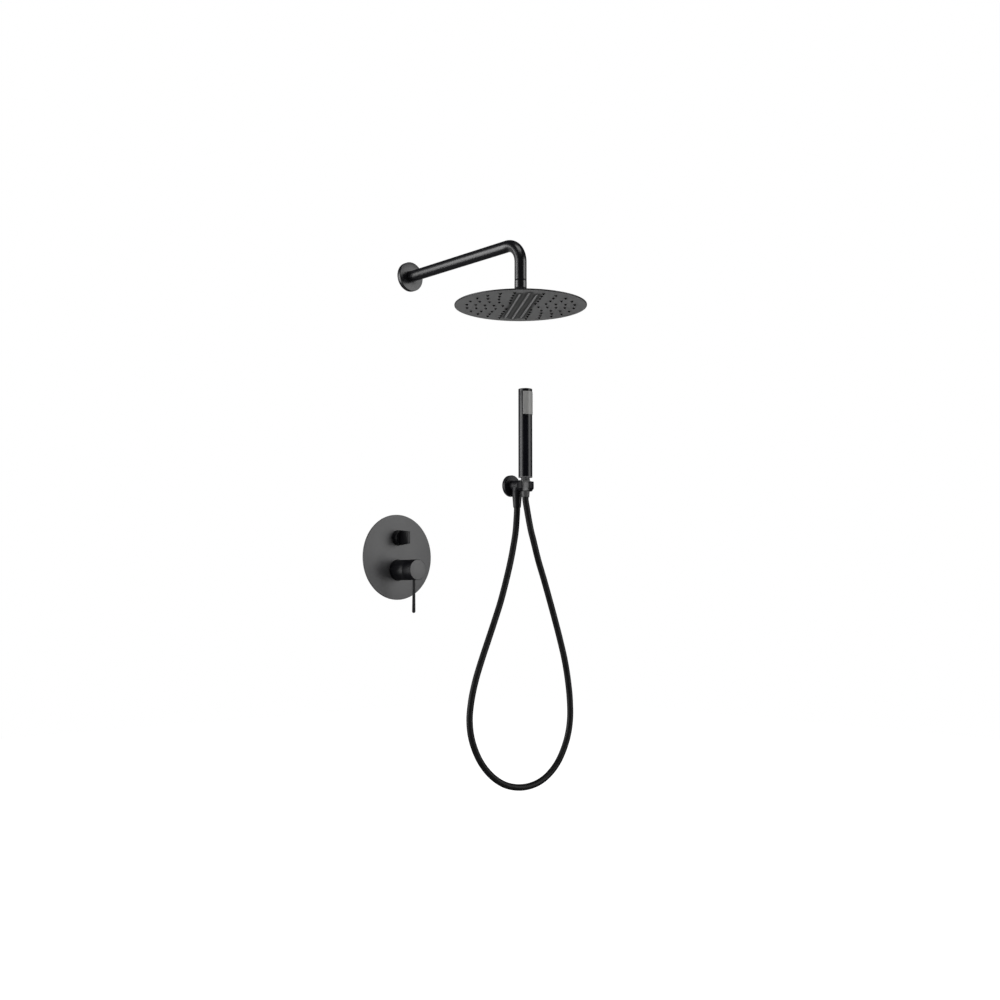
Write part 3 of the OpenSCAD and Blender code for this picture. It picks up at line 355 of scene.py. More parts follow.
def place_on(graph, scale=(1, 1, 1)):
    """Object coordinates in metres, stretched."""
    where = graph.node("ShaderNodeTexCoord", output="Object")
    return graph.node("ShaderNodeMapping", None, {"Vector": where, "Scale": scale})


def noise(graph, where, scale, detail):
    """Soft noise between 0 and 1, its scale in waves per metre."""
    return graph.node("ShaderNodeTexNoise", None,
                      {"Vector": where, "Scale": scale, "Detail": detail})


def ramp(graph, value, *stops):
    """Colours or plain levels over a value, from (place, colour or level) pairs."""
    full = [(place, tone if isinstance(tone, tuple) else (tone, tone, tone, 1))
            for place, tone in stops]
    return graph.node("ShaderNodeValToRGB", {"stops": full}, {"Fac": value})


def fade(graph, value, low, high, start=0.3, end=0.7):
    """Goes from one colour or level to another over the middle of a value's range."""
    return ramp(graph, value, (start, low), (end, high))


def dress(graph, shader, colour, roughness, relief, depth, strength):
    """Feeds the shader its colour, its roughness and a relief, depth in metres."""
    normal = graph.node("ShaderNodeBump", None,
                        {"Height": relief, "Distance": depth, "Strength": strength})
    graph.feed(shader["Base Color"], colour)
    graph.feed(shader["Roughness"], roughness)
    graph.feed(shader["Normal"], normal)


def level(grey, blue=0.0):
    """Opaque grey with a slight cast."""
    return (grey, grey, grey + blue, 1)


def hose_skin():
    """Black vinyl with faint haze, and the spiral showing through as shallow waves."""
    paint, graph, shader = finish("hose_black", specular=0.18)
    spiral_pitch = 0.0036
    turn, along, _ = graph.parts(graph.node("ShaderNodeUVMap", {"uv_map": "UVMap"}))
    wave = graph.math("SINE", (along / spiral_pitch + turn) * (2 * pi))
    haze = noise(graph, place_on(graph), scale=60, detail=4)
    dress(graph, shader, fade(graph, haze, level(0.004), level(0.008, 0.0005)),
          fade(graph, haze, 0.42, 0.52), wave * 0.5 + 0.5, depth=0.00006, strength=0.5)
    return paint


hose_diameter = 0.014
hose_sides = 28
hose_route = smooth_route([outlet_centre + Vector(p) for p in HOSE_ROUTE], 6)
hose_length = sum((b - a).length for a, b in zip(hose_route, hose_route[1:]))
hose = piece("hose_tube", swept(hose_route, [hose_diameter / 2], hose_sides), hose_skin(),
             None, "hose")
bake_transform(hose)

# ---- Arm ----
# Bent brass tube with a satin black coating, fed through the wall. A turned cover
# cup hides the hole in the wall, centred on the tube by a rubber ring.


def mm_box(node):
    """Lowest and highest corner and centre of a CAD node, in millimetres."""
    low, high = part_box(node)
    return low / MM, high / MM, (low + high) / 2 / MM


def mm_radius(node):
    """Radius of a round CAD node that faces the room or stands upright."""
    low, high, _ = mm_box(node)
    return (high.x - low.x) / 2


def wall_axis(node):
    """Frame on a node's centre line, its z axis pointing from the wall into the room."""
    centre = mm_box(node)[2] * MM
    return Matrix.Translation((centre.x, 0, centre.z)) @ Matrix.Rotation(radians(90), 4, "X")


def upright_axis(node):
    """Frame on a node's upright centre line, at the height of the frame's origin."""
    centre = mm_box(node)[2] * MM
    return Matrix.Translation((centre.x, centre.y, 0))


def arc(radius, height, start, end, steps):
    """Outline points on a circle about the turning axis, from start to end degrees,
    where 0 points outwards and 90 along the axis."""
    angles = [radians(start + (end - start) * k / steps) for k in range(steps + 1)]
    return [(radius * cos(a), height + radius * sin(a)) for a in angles]


def rounded(corners):
    """Closed outline from (radius, height, rounding) corners in millimetres."""
    steps = 4
    outline = []
    for i, corner in enumerate(corners):
        here = Vector(corner[:2])
        rounding = corner[2] if len(corner) > 2 else 0
        if not rounding:
            outline.append(here)
            continue
        back = Vector(corners[i - 1][:2]) - here
        ahead = Vector(corners[(i + 1) % len(corners)][:2]) - here
        half = back.angle(ahead) / 2
        reach = min(rounding / tan(half), 0.48 * back.length, 0.48 * ahead.length)
        radius = reach * tan(half)
        middle = (back.normalized() + ahead.normalized()).normalized()
        centre = here + middle * (radius / sin(half))
        first = here + back.normalized() * reach - centre
        last = here + ahead.normalized() * reach - centre
        for k in range(steps + 1):
            outline.append(centre + first.slerp(last, k / steps) * radius)
    return outline


def turned(corners, place, segments=96):
    """Solid turned on a lathe from an outline of (radius, height, rounding) corners."""
    build = bmesh.new()
    rings = []
    for radius, height in rounded(corners):
        if radius < 1e-4:
            rings.append([build.verts.new((0, 0, height * MM))])
            continue
        rings.append([build.verts.new((radius * MM * cos(2 * pi * k / segments),
                                       radius * MM * sin(2 * pi * k / segments),
                                       height * MM)) for k in range(segments)])
    for low, high in zip(rings, rings[1:] + rings[:1]):
        if len(low) == 1 and len(high) == 1:
            continue
        for k in range(segments):
            after = (k + 1) % segments
            corners_of = [low[k % len(low)], low[after % len(low)],
                          high[after % len(high)], high[k % len(high)]]
            build.faces.new(list(dict.fromkeys(corners_of)))
    bmesh.ops.recalc_face_normals(build, faces=build.faces)
    build.transform(place)
    return build


def tinted(graph, colour, shade):
    """Colour times a shade. Mix takes its two colours at sockets 6 and 7."""
    return graph.node("ShaderNodeMix", {"data_type": "RGBA", "blend_type": "MULTIPLY"},
                      {0: 1.0, 6: colour, 7: shade}, output=2)


def satin_coat(slot, grey, low_rough, high_rough, specular=0.5, name=None, shade=None):
    """Fine-grained satin coating: soft clouds in the sheen over a very fine grain.
    A shade, where one is given, darkens or lightens the colour from place to place, as
    painted light and shade."""
    paint, graph, shader = finish(slot, specular=specular)
    paint.name = name or slot
    where = place_on(graph)
    clouds = noise(graph, where, scale=14, detail=3)
    grain = noise(graph, where, scale=1500, detail=2)
    mixed = clouds * 0.7 + grain * 0.3
    colour = fade(graph, mixed, level(grey * 0.85, 0.001), level(grey * 1.15, 0.002),
                  start=0.35, end=0.65)
    if shade:
        colour = tinted(graph, colour, shade(graph))
    sheen = fade(graph, mixed, low_rough, high_rough, start=0.35, end=0.65)
    dress(graph, shader, colour, sheen, grain, depth=0.00003, strength=0.35)
    return paint


black_coat = satin_coat("black_metal", 0.005, 0.24, 0.32, specular=0.6)
tap_coat = satin_coat("black_metal", 0.005, 0.36, 0.44, specular=0.28, name="tap_coat")
# A lighter copy of the black coat for the lever's front face: painted light.
handle_front_lit_coat = satin_coat("black_metal", 0.034, 0.34, 0.42, specular=0.56,
                         name="handle_front_lit_coat")

arm_low = mm_box("arm_tube")[0]
arm_centre = mm_box("arm_flange")[2]
arm_radius = mm_radius("arm_tube")
arm_wall = 1.5
arm_bend = 38
arm_sides = 72
flange_gap = 0.1
arm_reach = -arm_low.y - arm_radius
leg_end = arm_low.z


def arm_path():
    """Straight run out of the wall, a quarter bend and the leg, in metres."""
    x, z = arm_centre.x, arm_centre.z
    bend_y = -arm_reach + arm_bend
    path = [Vector((x, y, z)) for y in (0, -6, -12, 0.5 * bend_y, bend_y + 8)]
    bend_steps = 40
    for k in range(bend_steps + 1):
        angle = radians(90 * k / bend_steps)
        path.append(Vector((x, bend_y - arm_bend * sin(angle),
                            z - arm_bend * (1 - cos(angle)))))
    leg_top = z - arm_bend
    path += [Vector((x, -arm_reach, h)) for h in (leg_top - 8, leg_end + 6, leg_end)]
    return [p * MM for p in path]


piece("arm_pipe",
      swept(arm_path(), [arm_radius * MM, (arm_radius - arm_wall) * MM], arm_sides),
      black_coat, "root", "arm_tube")


def flange(node, hole):
    """Turned cover cup: thin wall, open towards the tiles, softly rounded front."""
    low, high, _ = mm_box(node)
    radius = mm_radius(node)
    depth = high.y - low.y
    wall = 1.5
    return turned([(radius - wall, 0), (radius, 0, 0.2), (radius, depth, 1.2),
                   (hole, depth, 0.4), (hole, depth - wall, 0.2),
                   (radius - wall, depth - wall, 0.8)], wall_axis(node))


piece("arm_cover", flange("arm_flange", arm_radius + flange_gap), black_coat, "root",
      "arm_flange")


def paint_nodes(paint, *nodes):
    """Gives CAD pieces that already have the right shape their finish."""
    for name in nodes:
        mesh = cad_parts[name].data
        mesh.materials.clear()
        mesh.materials.append(paint)


def rubber(slot, grey, rough, specular=0.5):
    """Matt rubber with a fine bloom."""
    paint, graph, shader = finish(slot, specular=specular)
    bloom = noise(graph, place_on(graph), scale=180, detail=4)
    dress(graph, shader, fade(graph, bloom, level(grey * 0.8), level(grey * 1.3)),
          fade(graph, bloom, rough - 0.08, rough + 0.08), bloom, depth=0.00005,
          strength=0.4)
    return paint


black_rubber = rubber("rubber", 0.018, 0.62)
paint_nodes(black_rubber, "arm_grommet")


def brass_of(slot):
    """Turned brass: warm metal with fine tool marks and slight tarnish."""
    paint, graph, shader = finish(slot, metallic=1.0)
    tarnish = noise(graph, place_on(graph), scale=55, detail=4)
    marks = noise(graph, place_on(graph, (1, 1, 60)), scale=90, detail=2)
    dress(graph, shader,
          ramp(graph, tarnish, (0.3, (0.50, 0.33, 0.13, 1)), (0.5, (0.66, 0.47, 0.20, 1)),
               (0.75, (0.74, 0.55, 0.27, 1))),
          fade(graph, tarnish, 0.42, 0.27), marks, depth=0.00004, strength=0.3)
    return paint


brass = brass_of("brass")
paint_nodes(brass, "arm_outlet")


def geometry_tree(name, sizes):
    """Geometry Nodes tree with a geometry input, a material and named sizes."""
    tree = bpy.data.node_groups.new(name, "GeometryNodeTree")
    tree.interface.new_socket("Geometry", in_out="INPUT", socket_type="NodeSocketGeometry")
    for size, (kind, value) in sizes.items():
        made = tree.interface.new_socket(size, in_out="INPUT", socket_type=kind)
        made.default_value = value
    tree.interface.new_socket("Material", in_out="INPUT", socket_type="NodeSocketMaterial")
    tree.interface.new_socket("Geometry", in_out="OUTPUT", socket_type="NodeSocketGeometry")
    graph = Graph(tree)
    entry = tree.nodes.new("NodeGroupInput")
    given = {socket.name: Signal(graph, socket) for socket in entry.outputs if socket.name}
    return graph, given


def close_tree(graph, given, result):
    """Ends a tree in Realize Instances and Set Material."""
    real = graph.node("GeometryNodeRealizeInstances", None, {"Geometry": result})
    painted = graph.node("GeometryNodeSetMaterial", None,
                         {"Geometry": real, "Material": given["Material"]})
    graph.end("NodeGroupOutput", painted)
    return graph.tree


def applied(holder, merge):
    """Build of an object with its modifiers applied and its doubles merged."""
    bpy.context.view_layer.update()
    graph = bpy.context.evaluated_depsgraph_get()
    mesh = bpy.data.meshes.new_from_object(holder.evaluated_get(graph), depsgraph=graph)
    bpy.data.objects.remove(holder)
    build = bmesh.new()
    build.from_mesh(mesh)
    bmesh.ops.remove_doubles(build, verts=build.verts, dist=merge)
    return build


def grown(tree, paint, values, place):
    """Build that a Geometry Nodes tree makes with these values."""
    holder = linked("grown", bpy.data.meshes.new("grown"))
    modifier = holder.modifiers.new("grown", "NODES")
    modifier.node_group = tree
    for item in tree.interface.items_tree:
        if item.in_out != "INPUT" or item.item_type != "SOCKET":
            continue
        if item.name == "Material":
            modifier[item.identifier] = paint
        elif item.name in values:
            modifier[item.identifier] = values[item.name]
    build = applied(holder, 1e-4)
    bmesh.ops.recalc_face_normals(build, faces=build.faces)
    build.transform(place)
    return build


def joined(*builds):
    """One build of several."""
    whole = bmesh.new()
    for part in builds:
        mesh = mesh_of("part", part)
        whole.from_mesh(mesh)
        bpy.data.meshes.remove(mesh)
    return whole


def raised(graph, geometry, height):
    """Geometry moved up its own z axis."""
    return graph.node("GeometryNodeTransform", None,
                      {"Geometry": geometry, "Translation": graph.vector(Z=height)})


def shift(x, y, z):
    """Move by millimetres."""
    return Matrix.Translation((x * MM, y * MM, z * MM))


NUMBER, WHOLE = "NodeSocketFloat", "NodeSocketInt"
thread_core = 9.32


def thread_tree():
    """Ridge of a screw thread, wound up the z axis on its core."""
    graph, given = geometry_tree("thread", {
        "Core radius": (NUMBER, thread_core), "Depth": (NUMBER, 1.16),
        "Pitch": (NUMBER, 1.814), "Length": (NUMBER, 10.0)})
    rise = given["Length"] - given["Pitch"]
    spiral = graph.node("GeometryNodeCurveSpiral", None,
                        {"Resolution": 64, "Rotations": rise / given["Pitch"],
                         "Start Radius": given["Core radius"],
                         "End Radius": given["Core radius"], "Height": rise})
    upright = graph.node("GeometryNodeSetCurveNormal", {"mode": "Z_UP"}, {"Curve": spiral})
    diamond = graph.node("GeometryNodeCurvePrimitiveCircle", {"mode": "RADIUS"},
                         {"Resolution": 4, "Radius": 1.0})
    stretch = graph.vector(X=given["Depth"], Y=given["Pitch"] * 0.47, Z=1.0)
    profile = graph.node("GeometryNodeTransform", None,
                         {"Geometry": diamond, "Scale": stretch})
    ridge = graph.node("GeometryNodeCurveToMesh", None,
                       {"Curve": upright, "Profile Curve": profile, "Fill Caps": True})
    return close_tree(graph, given, raised(graph, ridge, given["Pitch"] / 2))


thread_maker = thread_tree()


def threads(axis, start, length):
    """Half-inch pipe thread on an axis, from start and this long in millimetres."""
    return grown(thread_maker, brass, {"Length": float(length)},
                 axis @ shift(0, 0, start) @ Matrix.Scale(MM, 4))


inlet_low, inlet_high, _ = mm_box("arm_inlet")
inlet_place = wall_axis("arm_inlet")
inlet_bore = 6.5
inlet_spigot = 9.95
inlet = turned([(inlet_bore, -inlet_high.y), (thread_core, -inlet_high.y, 0.6),
                (thread_core, 0), (inlet_spigot, 0), (inlet_spigot, -inlet_low.y),
                (inlet_bore, -inlet_low.y)], inlet_place)
inlet_thread = threads(inlet_place, -inlet_high.y, inlet_high.y)
piece("arm_thread", joined(inlet, inlet_thread), brass, "root", "arm_inlet")

# ---- Ball joint ----
# Turned and plated collar nut that screws onto the leg and holds the stem's brass
# ball, which a low-friction ring seals. A cup of perforated steel keeps grit out.

nut_plating = satin_coat("nut_metal", 0.10, 0.36, 0.46, specular=0.35)
dark_plating = satin_coat("nut_metal", 0.008, 0.22, 0.3, specular=0.8, name="dark_plating")

collar_low, collar_high, _ = mm_box("collar_nut")
collar_radius = mm_radius("collar_nut")
collar_lip = 5
thread_bore = 10.53
ball_radius = 9
ball_gap = 0.08
ball_height = collar_low.z + collar_lip
ledge = ball_height + 0.5
seat_radius = ball_radius + ball_gap
seat_low = sqrt(seat_radius ** 2 - collar_lip ** 2)

collar_foot = collar_low.z + 3
collar_top = collar_high.z
collar_waist = collar_radius - 0.7
collar_edge = collar_waist - 0.05
collar_outline = [(seat_low, collar_low.z), (collar_radius, collar_low.z, 0.5),
                  (collar_radius, collar_foot, 0.6), (collar_waist, collar_foot + 3.5, 0.6),
                  (collar_waist, collar_top - 3.4), (collar_edge - 0.6, collar_top - 2.8),
                  (collar_edge, collar_top - 1.9), (collar_edge - 0.65, collar_top - 1.3),
                  (collar_edge, collar_top - 0.4), (collar_edge, collar_top),
                  (thread_bore, collar_top), (thread_bore, ledge), (seat_radius, ledge)]
collar_outline += arc(seat_radius, ball_height, 0, -33, steps=6)[1:-1]
piece("leg_collar", turned(collar_outline, upright_axis("collar_nut"), segments=128),
      dark_plating, "root", "collar_nut")

paint_nodes(black_rubber, "collar_washer")


def sheet_steel(slot):
    """Stainless steel with a short rolling grain."""
    paint, graph, shader = finish(slot, metallic=1.0)
    grain = noise(graph, place_on(graph, (1, 1, 26)), scale=160, detail=3)
    blotch = noise(graph, place_on(graph), scale=24, detail=3)
    dress(graph, shader, fade(graph, blotch, level(0.42, 0.01), level(0.56, 0.01)),
          fade(graph, grain, 0.26, 0.42), grain, depth=0.00003, strength=0.3)
    return paint


steel = sheet_steel("steel")
paint_nodes(steel, "inlet_strainer")


def moulding(slot, grey, rough):
    """Moulded plastic with a faint mottle."""
    paint, graph, shader = finish(slot)
    mottle = noise(graph, place_on(graph), scale=130, detail=3)
    dress(graph, shader, fade(graph, mottle, level(grey * 0.93), level(grey * 1.05, -0.01)),
          fade(graph, mottle, rough - 0.05, rough + 0.08), mottle, depth=0.00004,
          strength=0.3)
    return paint


white_plastic = moulding("white_plastic", 0.72, 0.42)
paint_nodes(white_plastic, "ball_ring")
paint_nodes(brass, "ball_stem")

# ---- Rain head ----
# Two stainless sheets closed at the rim, coated satin black. A soft mat between
# them pushes its nozzles through the lower sheet, which three pressed beads stiffen.

head_centre = mm_box("head_face")[2]
head_radius = mm_radius("head_face")
hub_low, hub_high, _ = mm_box("head_hub")
shell_low, shell_high, _ = mm_box("head_shell")
face_thick = 1
shell_thick = 1.2
rim_width = 13
step_width = 4
stem_hole = 8.05
underside = shell_low.z - face_thick
bead_angle = 55.7
bead_spread = 15.5
bead_depth = 1.3
bead_half_width = 3.4
bead_length = 202
outer_bead_cut = 10
head_place = shift(head_centre.x, head_centre.y, underside)
BEADS = (-1, 0, 1)


def bead_reach(number):
    """Half of a bead's length. The outer two are shorter than the middle one."""
    return bead_length / 2 - outer_bead_cut * abs(number)


def painted_bead_light(graph):
    """Painted light on the lower sheet: a painted highlight along the crests of the beads,
    painted shade at their feet, and the rim painted black as a painted dark reflection."""
    local = graph.node("ShaderNodeMapping", {"vector_type": "TEXTURE"},
                       {"Vector": graph.node("ShaderNodeTexCoord", output="Object"),
                        "Location": (head_centre.x * MM, head_centre.y * MM, 0),
                        "Rotation": (0, 0, radians(bead_angle)), "Scale": (MM, MM, MM)})
    along, across, _ = graph.parts(local)
    nearest = None
    for number in BEADS:
        beyond = graph.math("ABSOLUTE", along) - bead_reach(number)
        past_end = graph.math("MAXIMUM", beyond, 0)
        aside = across - number * bead_spread
        off = graph.math("SQRT", aside * aside + past_end * past_end)
        nearest = graph.math("MINIMUM", nearest, off) if nearest else off
    # Colour over the distance from the nearest bead: lighter on the crest as a painted
    # highlight, darker at the foot as painted shade.
    relief = ramp(graph, nearest / 16, (0.05, 0.78), (0.17, 0.07), (0.45, 0.22), (0.7, 0.5))
    # The rim is painted black, a painted dark reflection.
    spoke = graph.math("SQRT", along * along + across * across) / head_radius
    return relief * ramp(graph, spoke, (0.986, 1.0), (0.994, 0.05))


# The lower sheet's coat carries the painted bead light and the painted dark rim.
head_coat = satin_coat("face_metal", 0.26, 0.36, 0.46, shade=painted_bead_light)

hub_radius = mm_radius("head_hub")
hub_slope = 2
piece("head_socket",
      turned([(stem_hole, hub_low.z), (hub_radius, hub_low.z, 0.2),
              (hub_radius, hub_high.z - hub_slope, 0.6),
              (hub_radius - hub_slope, hub_high.z, 0.6), (stem_hole, hub_high.z, 0.2)],
             upright_axis("head_hub")), black_coat, "rain_head", "head_hub")


def shell_outline():
    """Upper sheet: flat boss, shallow cone and flat rim."""
    wall, half_wall = shell_thick, shell_thick / 2
    top, flat = shell_high.z, shell_low.z
    boss, rim = 42, head_radius - rim_width
    slope, low = boss + step_width, rim - step_width
    first_drop, last_drop = 0.8, 1.8
    return [(stem_hole, top), (boss, top, 3), (slope, top - first_drop, 3),
            (low, top - last_drop, 3), (rim, flat + wall, 3),
            (head_radius, flat + wall, 0.5), (head_radius, flat), (rim - half_wall, flat),
            (low - half_wall, top - last_drop - wall),
            (slope - half_wall, top - first_drop - wall),
            (boss - half_wall, top - wall), (stem_hole, top - wall)]


piece("head_cover", turned(shell_outline(), upright_axis("head_shell"), segments=192),
      black_coat, "rain_head", "head_shell")


def bead_height(number, across, along):
    """Depth of one pressed bead at a point, in millimetres."""
    aside = across - number * bead_spread
    past_end = max(0.0, abs(along) - bead_reach(number))
    off = sqrt(aside ** 2 + past_end ** 2) / bead_half_width
    return bead_depth * 0.5 * (1 + cos(pi * min(off, 1.0)))


def face_sheet():
    """Lower sheet: a disc in strips along the beads, pressed down where they run,
    with its rim turned up."""
    build = bmesh.new()
    edge = head_radius - 0.5
    offsets = [edge * sin(radians(3 * k)) for k in range(-29, 30)]
    stations = [a for a in offsets if abs(a) > bead_spread + bead_half_width + 1]
    for number in BEADS:
        stations += [number * bead_spread + bead_half_width * k / 6 for k in range(-6, 7)]
    stations += [-0.5 * bead_spread, 0.5 * bead_spread]
    stations.sort()
    steps = 150
    rows = [[build.verts.new((0, -edge, 0))]]
    for across in stations:
        reach = sqrt(edge ** 2 - across ** 2)
        row = []
        for k in range(steps + 1):
            along = -reach * cos(pi * k / steps)
            press = max(bead_height(number, across, along) for number in BEADS)
            row.append(build.verts.new((along, across, -press)))
        rows.append(row)
    rows.append([build.verts.new((0, edge, 0))])
    for low, high in zip(rows, rows[1:]):
        for k in range(steps):
            corners = [low[min(k, len(low) - 1)], low[min(k + 1, len(low) - 1)],
                       high[min(k + 1, len(high) - 1)], high[min(k, len(high) - 1)]]
            build.faces.new(list(dict.fromkeys(corners)))
    inner = rows[1:-1]
    rim = rows[0] + [row[-1] for row in inner] + rows[-1] + [row[0] for row in inner[::-1]]
    for radius, height in ((head_radius - 0.15, 0.15), (head_radius, 0.5),
                           (head_radius, face_thick - 0.05),
                           (head_radius - 0.1, face_thick)):
        outer = []
        for vert in rim:
            spoke = vert.co.xy.normalized() * radius
            outer.append(build.verts.new((spoke.x, spoke.y, height)))
        for k in range(len(rim)):
            build.faces.new((rim[k - 1], rim[k], outer[k], outer[k - 1]))
        rim = outer
    build.faces.new(rim)
    bmesh.ops.recalc_face_normals(build, faces=build.faces)
    build.transform(head_place @ Matrix.Rotation(radians(bead_angle), 4, "Z")
                    @ Matrix.Scale(MM, 4))
    return build


piece("head_underside", face_sheet(), head_coat, "rain_head", "head_face", crease=50)


def nub(graph, given):
    """Soft nozzle that points along z: foot with a rim, cone, lip and bore."""
    sides = 18

    def ring(low, high, start, height):
        cone = graph.node("GeometryNodeMeshCone", {"fill_type": "NONE"},
                          {"Vertices": sides, "Radius Bottom": low, "Radius Top": high,
                           "Depth": height})
        return raised(graph, cone, start)

    root, tip, bore = given["Root radius"], given["Tip radius"], given["Bore radius"]
    height, foot, rim = given["Height"], given["Foot"], given["Rim radius"]
    base = graph.node("GeometryNodeMeshCircle", {"fill_type": "NGON"},
                      {"Vertices": sides, "Radius": rim})
    shoulder, waist, waist_radius = foot * 0.7, height * 0.35, root * 0.8
    lip, bore_end = height * 0.9, height * -0.5
    rings = [ring(rim, rim, 0 - foot, foot * 1.5), ring(rim, root, foot * 0.5, foot * 0.2),
             ring(root, waist_radius, shoulder, waist - shoulder),
             ring(waist_radius, tip, waist, height * 0.55),
             ring(tip, bore, lip, height * 0.1), ring(bore, 0.0, height, bore_end),
             raised(graph, base, 0 - foot)]
    whole = graph.node("GeometryNodeJoinGeometry")
    for part in rings:
        graph.tree.links.new(part.socket, whole.socket.node.inputs[0])
    return whole


def nozzle_tree():
    """Rings of nozzles: ring k holds 4 k of them, and the beads keep a strip free."""
    graph, given = geometry_tree("nozzles", {
        "Rings": (WHOLE, 6), "Pitch": (NUMBER, 17.0), "Bead angle": (NUMBER, 0.0),
        "Clear": (NUMBER, 17.0), "Root radius": (NUMBER, 2.3), "Tip radius": (NUMBER, 1.3),
        "Height": (NUMBER, 2.4), "Bore radius": (NUMBER, 0.5), "Foot": (NUMBER, 0.6),
        "Rim radius": (NUMBER, 3.0)})
    rings = given["Rings"]
    points = graph.node("GeometryNodePoints", None, {"Count": 2 * rings * (rings + 1)})
    index = graph.node("GeometryNodeInputIndex")
    root = graph.math("SQRT", 2 * (index + 1) + 1)
    ring = graph.math("CEIL", (root - 1) / 2 - 0.0001)
    first = 2 * ring * (ring - 1)
    turn = (index - first) * (pi / 2) / ring
    angle = given["Bead angle"] + turn
    distance = given["Pitch"] * ring
    spot = graph.vector(X=distance * graph.math("COSINE", angle),
                        Y=distance * graph.math("SINE", angle))
    placed = graph.node("GeometryNodeSetPosition", None,
                        {"Geometry": points, "Position": spot})
    aside = graph.math("ABSOLUTE", distance * graph.math("SINE", turn))
    off = (aside < given["Clear"]) + (ring < 1.5)
    kept = graph.node("GeometryNodeDeleteGeometry", {"domain": "POINT"},
                      {"Geometry": placed, "Selection": off > 0.5})
    spread = graph.node("GeometryNodeInstanceOnPoints", None,
                        {"Points": kept, "Instance": nub(graph, given),
                         "Rotation": (pi, 0, 0)})
    return close_tree(graph, given, spread)


nozzle_rubber = rubber("nozzle_rubber", 0.003, 0.6, specular=0.1)
nozzles = grown(nozzle_tree(), nozzle_rubber, {"Bead angle": radians(bead_angle)},
                head_place @ Matrix.Scale(MM, 4))
mat_radius = head_radius - rim_width - step_width - 2
mat_low = underside + face_thick
mat_high = mat_low + 2
mat = turned([(0, mat_low), (mat_radius, mat_low), (mat_radius, mat_high, 0.3),
              (0, mat_high)], upright_axis("head_face"))
piece("nozzles", joined(nozzles, mat), nozzle_rubber, "rain_head", "nozzle_mat")

# ---- Mixer plate ----
# Flat turned plate, satin coated, over a steel carrier screwed to the body in the wall.
# A foam gasket lies behind it, and rubber rings close the gaps round the two sleeves.

plate_coat = satin_coat("plate_metal", 0.040, 0.33, 0.42)

plate_low, plate_high, _ = mm_box("cover_plate")
plate_radius = mm_radius("cover_plate")
plate_back = -plate_high.y
plate_front = -plate_low.y
lever_radius = 20.75
diverter_radius = 15
ring_gap = 1.25


def carved(build, *cutters, mode="DIFFERENCE", rounding=0.0):
    """Solid with others cut from it or joined to it, its sharp edges rounded by this
    many millimetres."""
    base, *tools = [linked("part", mesh_of("part", part)) for part in (build, *cutters)]
    for cutter in tools:
        modifier = base.modifiers.new("cut", "BOOLEAN")
        modifier.operation = mode
        modifier.solver = "EXACT"
        modifier.object = cutter
    if rounding:
        modifier = base.modifiers.new("edge", "BEVEL")
        modifier.width = rounding * MM
        modifier.segments = 2
        modifier.limit_method = "ANGLE"
        modifier.angle_limit = radians(40)
    result = applied(base, 1e-6)
    for cutter in tools:
        bpy.data.objects.remove(cutter)
    return result


def plug(radius, low, high, place):
    """Plain turned cylinder, as a cutter or a core."""
    return turned([(0, low), (radius, low), (radius, high), (0, high)], place)


plate = turned([(0, plate_back), (plate_radius, plate_back, 0.2),
                (plate_radius, plate_front, 0.8), (0, plate_front)],
               wall_axis("cover_plate"), segments=192)
holes = [plug(radius + ring_gap, -2, plate_front + 2, wall_axis(node)) for radius, node in
         ((lever_radius, "lever_sleeve"), (diverter_radius, "diverter_sleeve"))]
piece("plate", carved(plate, *holes), plate_coat, "root", "cover_plate")
paint_nodes(black_rubber, "plate_gasket", "lever_ring", "diverter_ring")
paint_nodes(steel, "plate_carrier", "carrier_screws")

# ---- Lever ----
# A turned sleeve ends in a ball-shaped dome. The coated brass handle rocks over it on
# a pin in the fork, and a thin pin lever is screwed in from below.

handle_low = mm_box("lever_handle")[0]
handle_front = -handle_low.y
sleeve_back = -mm_box("lever_sleeve")[1].y
pivot = 30
joint_line = 43
dome_radius = sqrt(lever_radius ** 2 + (joint_line - pivot) ** 2)
dome_hole = 16.5
dome_wall = 2
dome_gap = 0.4
hollow_radius = dome_radius + dome_gap
hollow_floor = 62
stem_bore = 5.7
sleeve_bore = 19.4


def angle_at(radius, ball):
    """Angle on a ball, in degrees, where it is this far from the turning axis."""
    return atan2(sqrt(ball ** 2 - radius ** 2), radius) * 180 / pi


sleeve = [(sleeve_bore, sleeve_back), (lever_radius, sleeve_back, 0.3)]
sleeve += arc(dome_radius, pivot, angle_at(lever_radius, dome_radius),
              angle_at(dome_hole, dome_radius), steps=8)
sleeve += arc(dome_radius - dome_wall, pivot, angle_at(dome_hole, dome_radius - dome_wall),
              angle_at(sleeve_bore, dome_radius - dome_wall), steps=6)
piece("lever_base", turned(sleeve, wall_axis("lever_sleeve"), segments=128), tap_coat,
      "root", "lever_sleeve")

handle = [(lever_radius, handle_front, 1.0), (0, handle_front), (0, hollow_floor),
          (stem_bore, hollow_floor)]
handle += arc(hollow_radius, pivot, angle_at(stem_bore, hollow_radius),
              angle_at(lever_radius, hollow_radius), steps=12)
dull_coat = satin_coat("black_metal", 0.003, 0.42, 0.5, specular=0.14, name="dull_coat")
lever_body = piece("lever_body",
                   turned(handle, wall_axis("lever_handle"), segments=128),
                   handle_front_lit_coat, "lever", "lever_handle")
# The front face takes the lighter copy and the sides the dark, dull coat, so the front is
# painted lighter than the sides as painted light.
lever_body.data.materials.append(dull_coat)
for face in lever_body.data.polygons:
    is_side = face.normal.y > -0.9
    face.material_index = int(is_side)

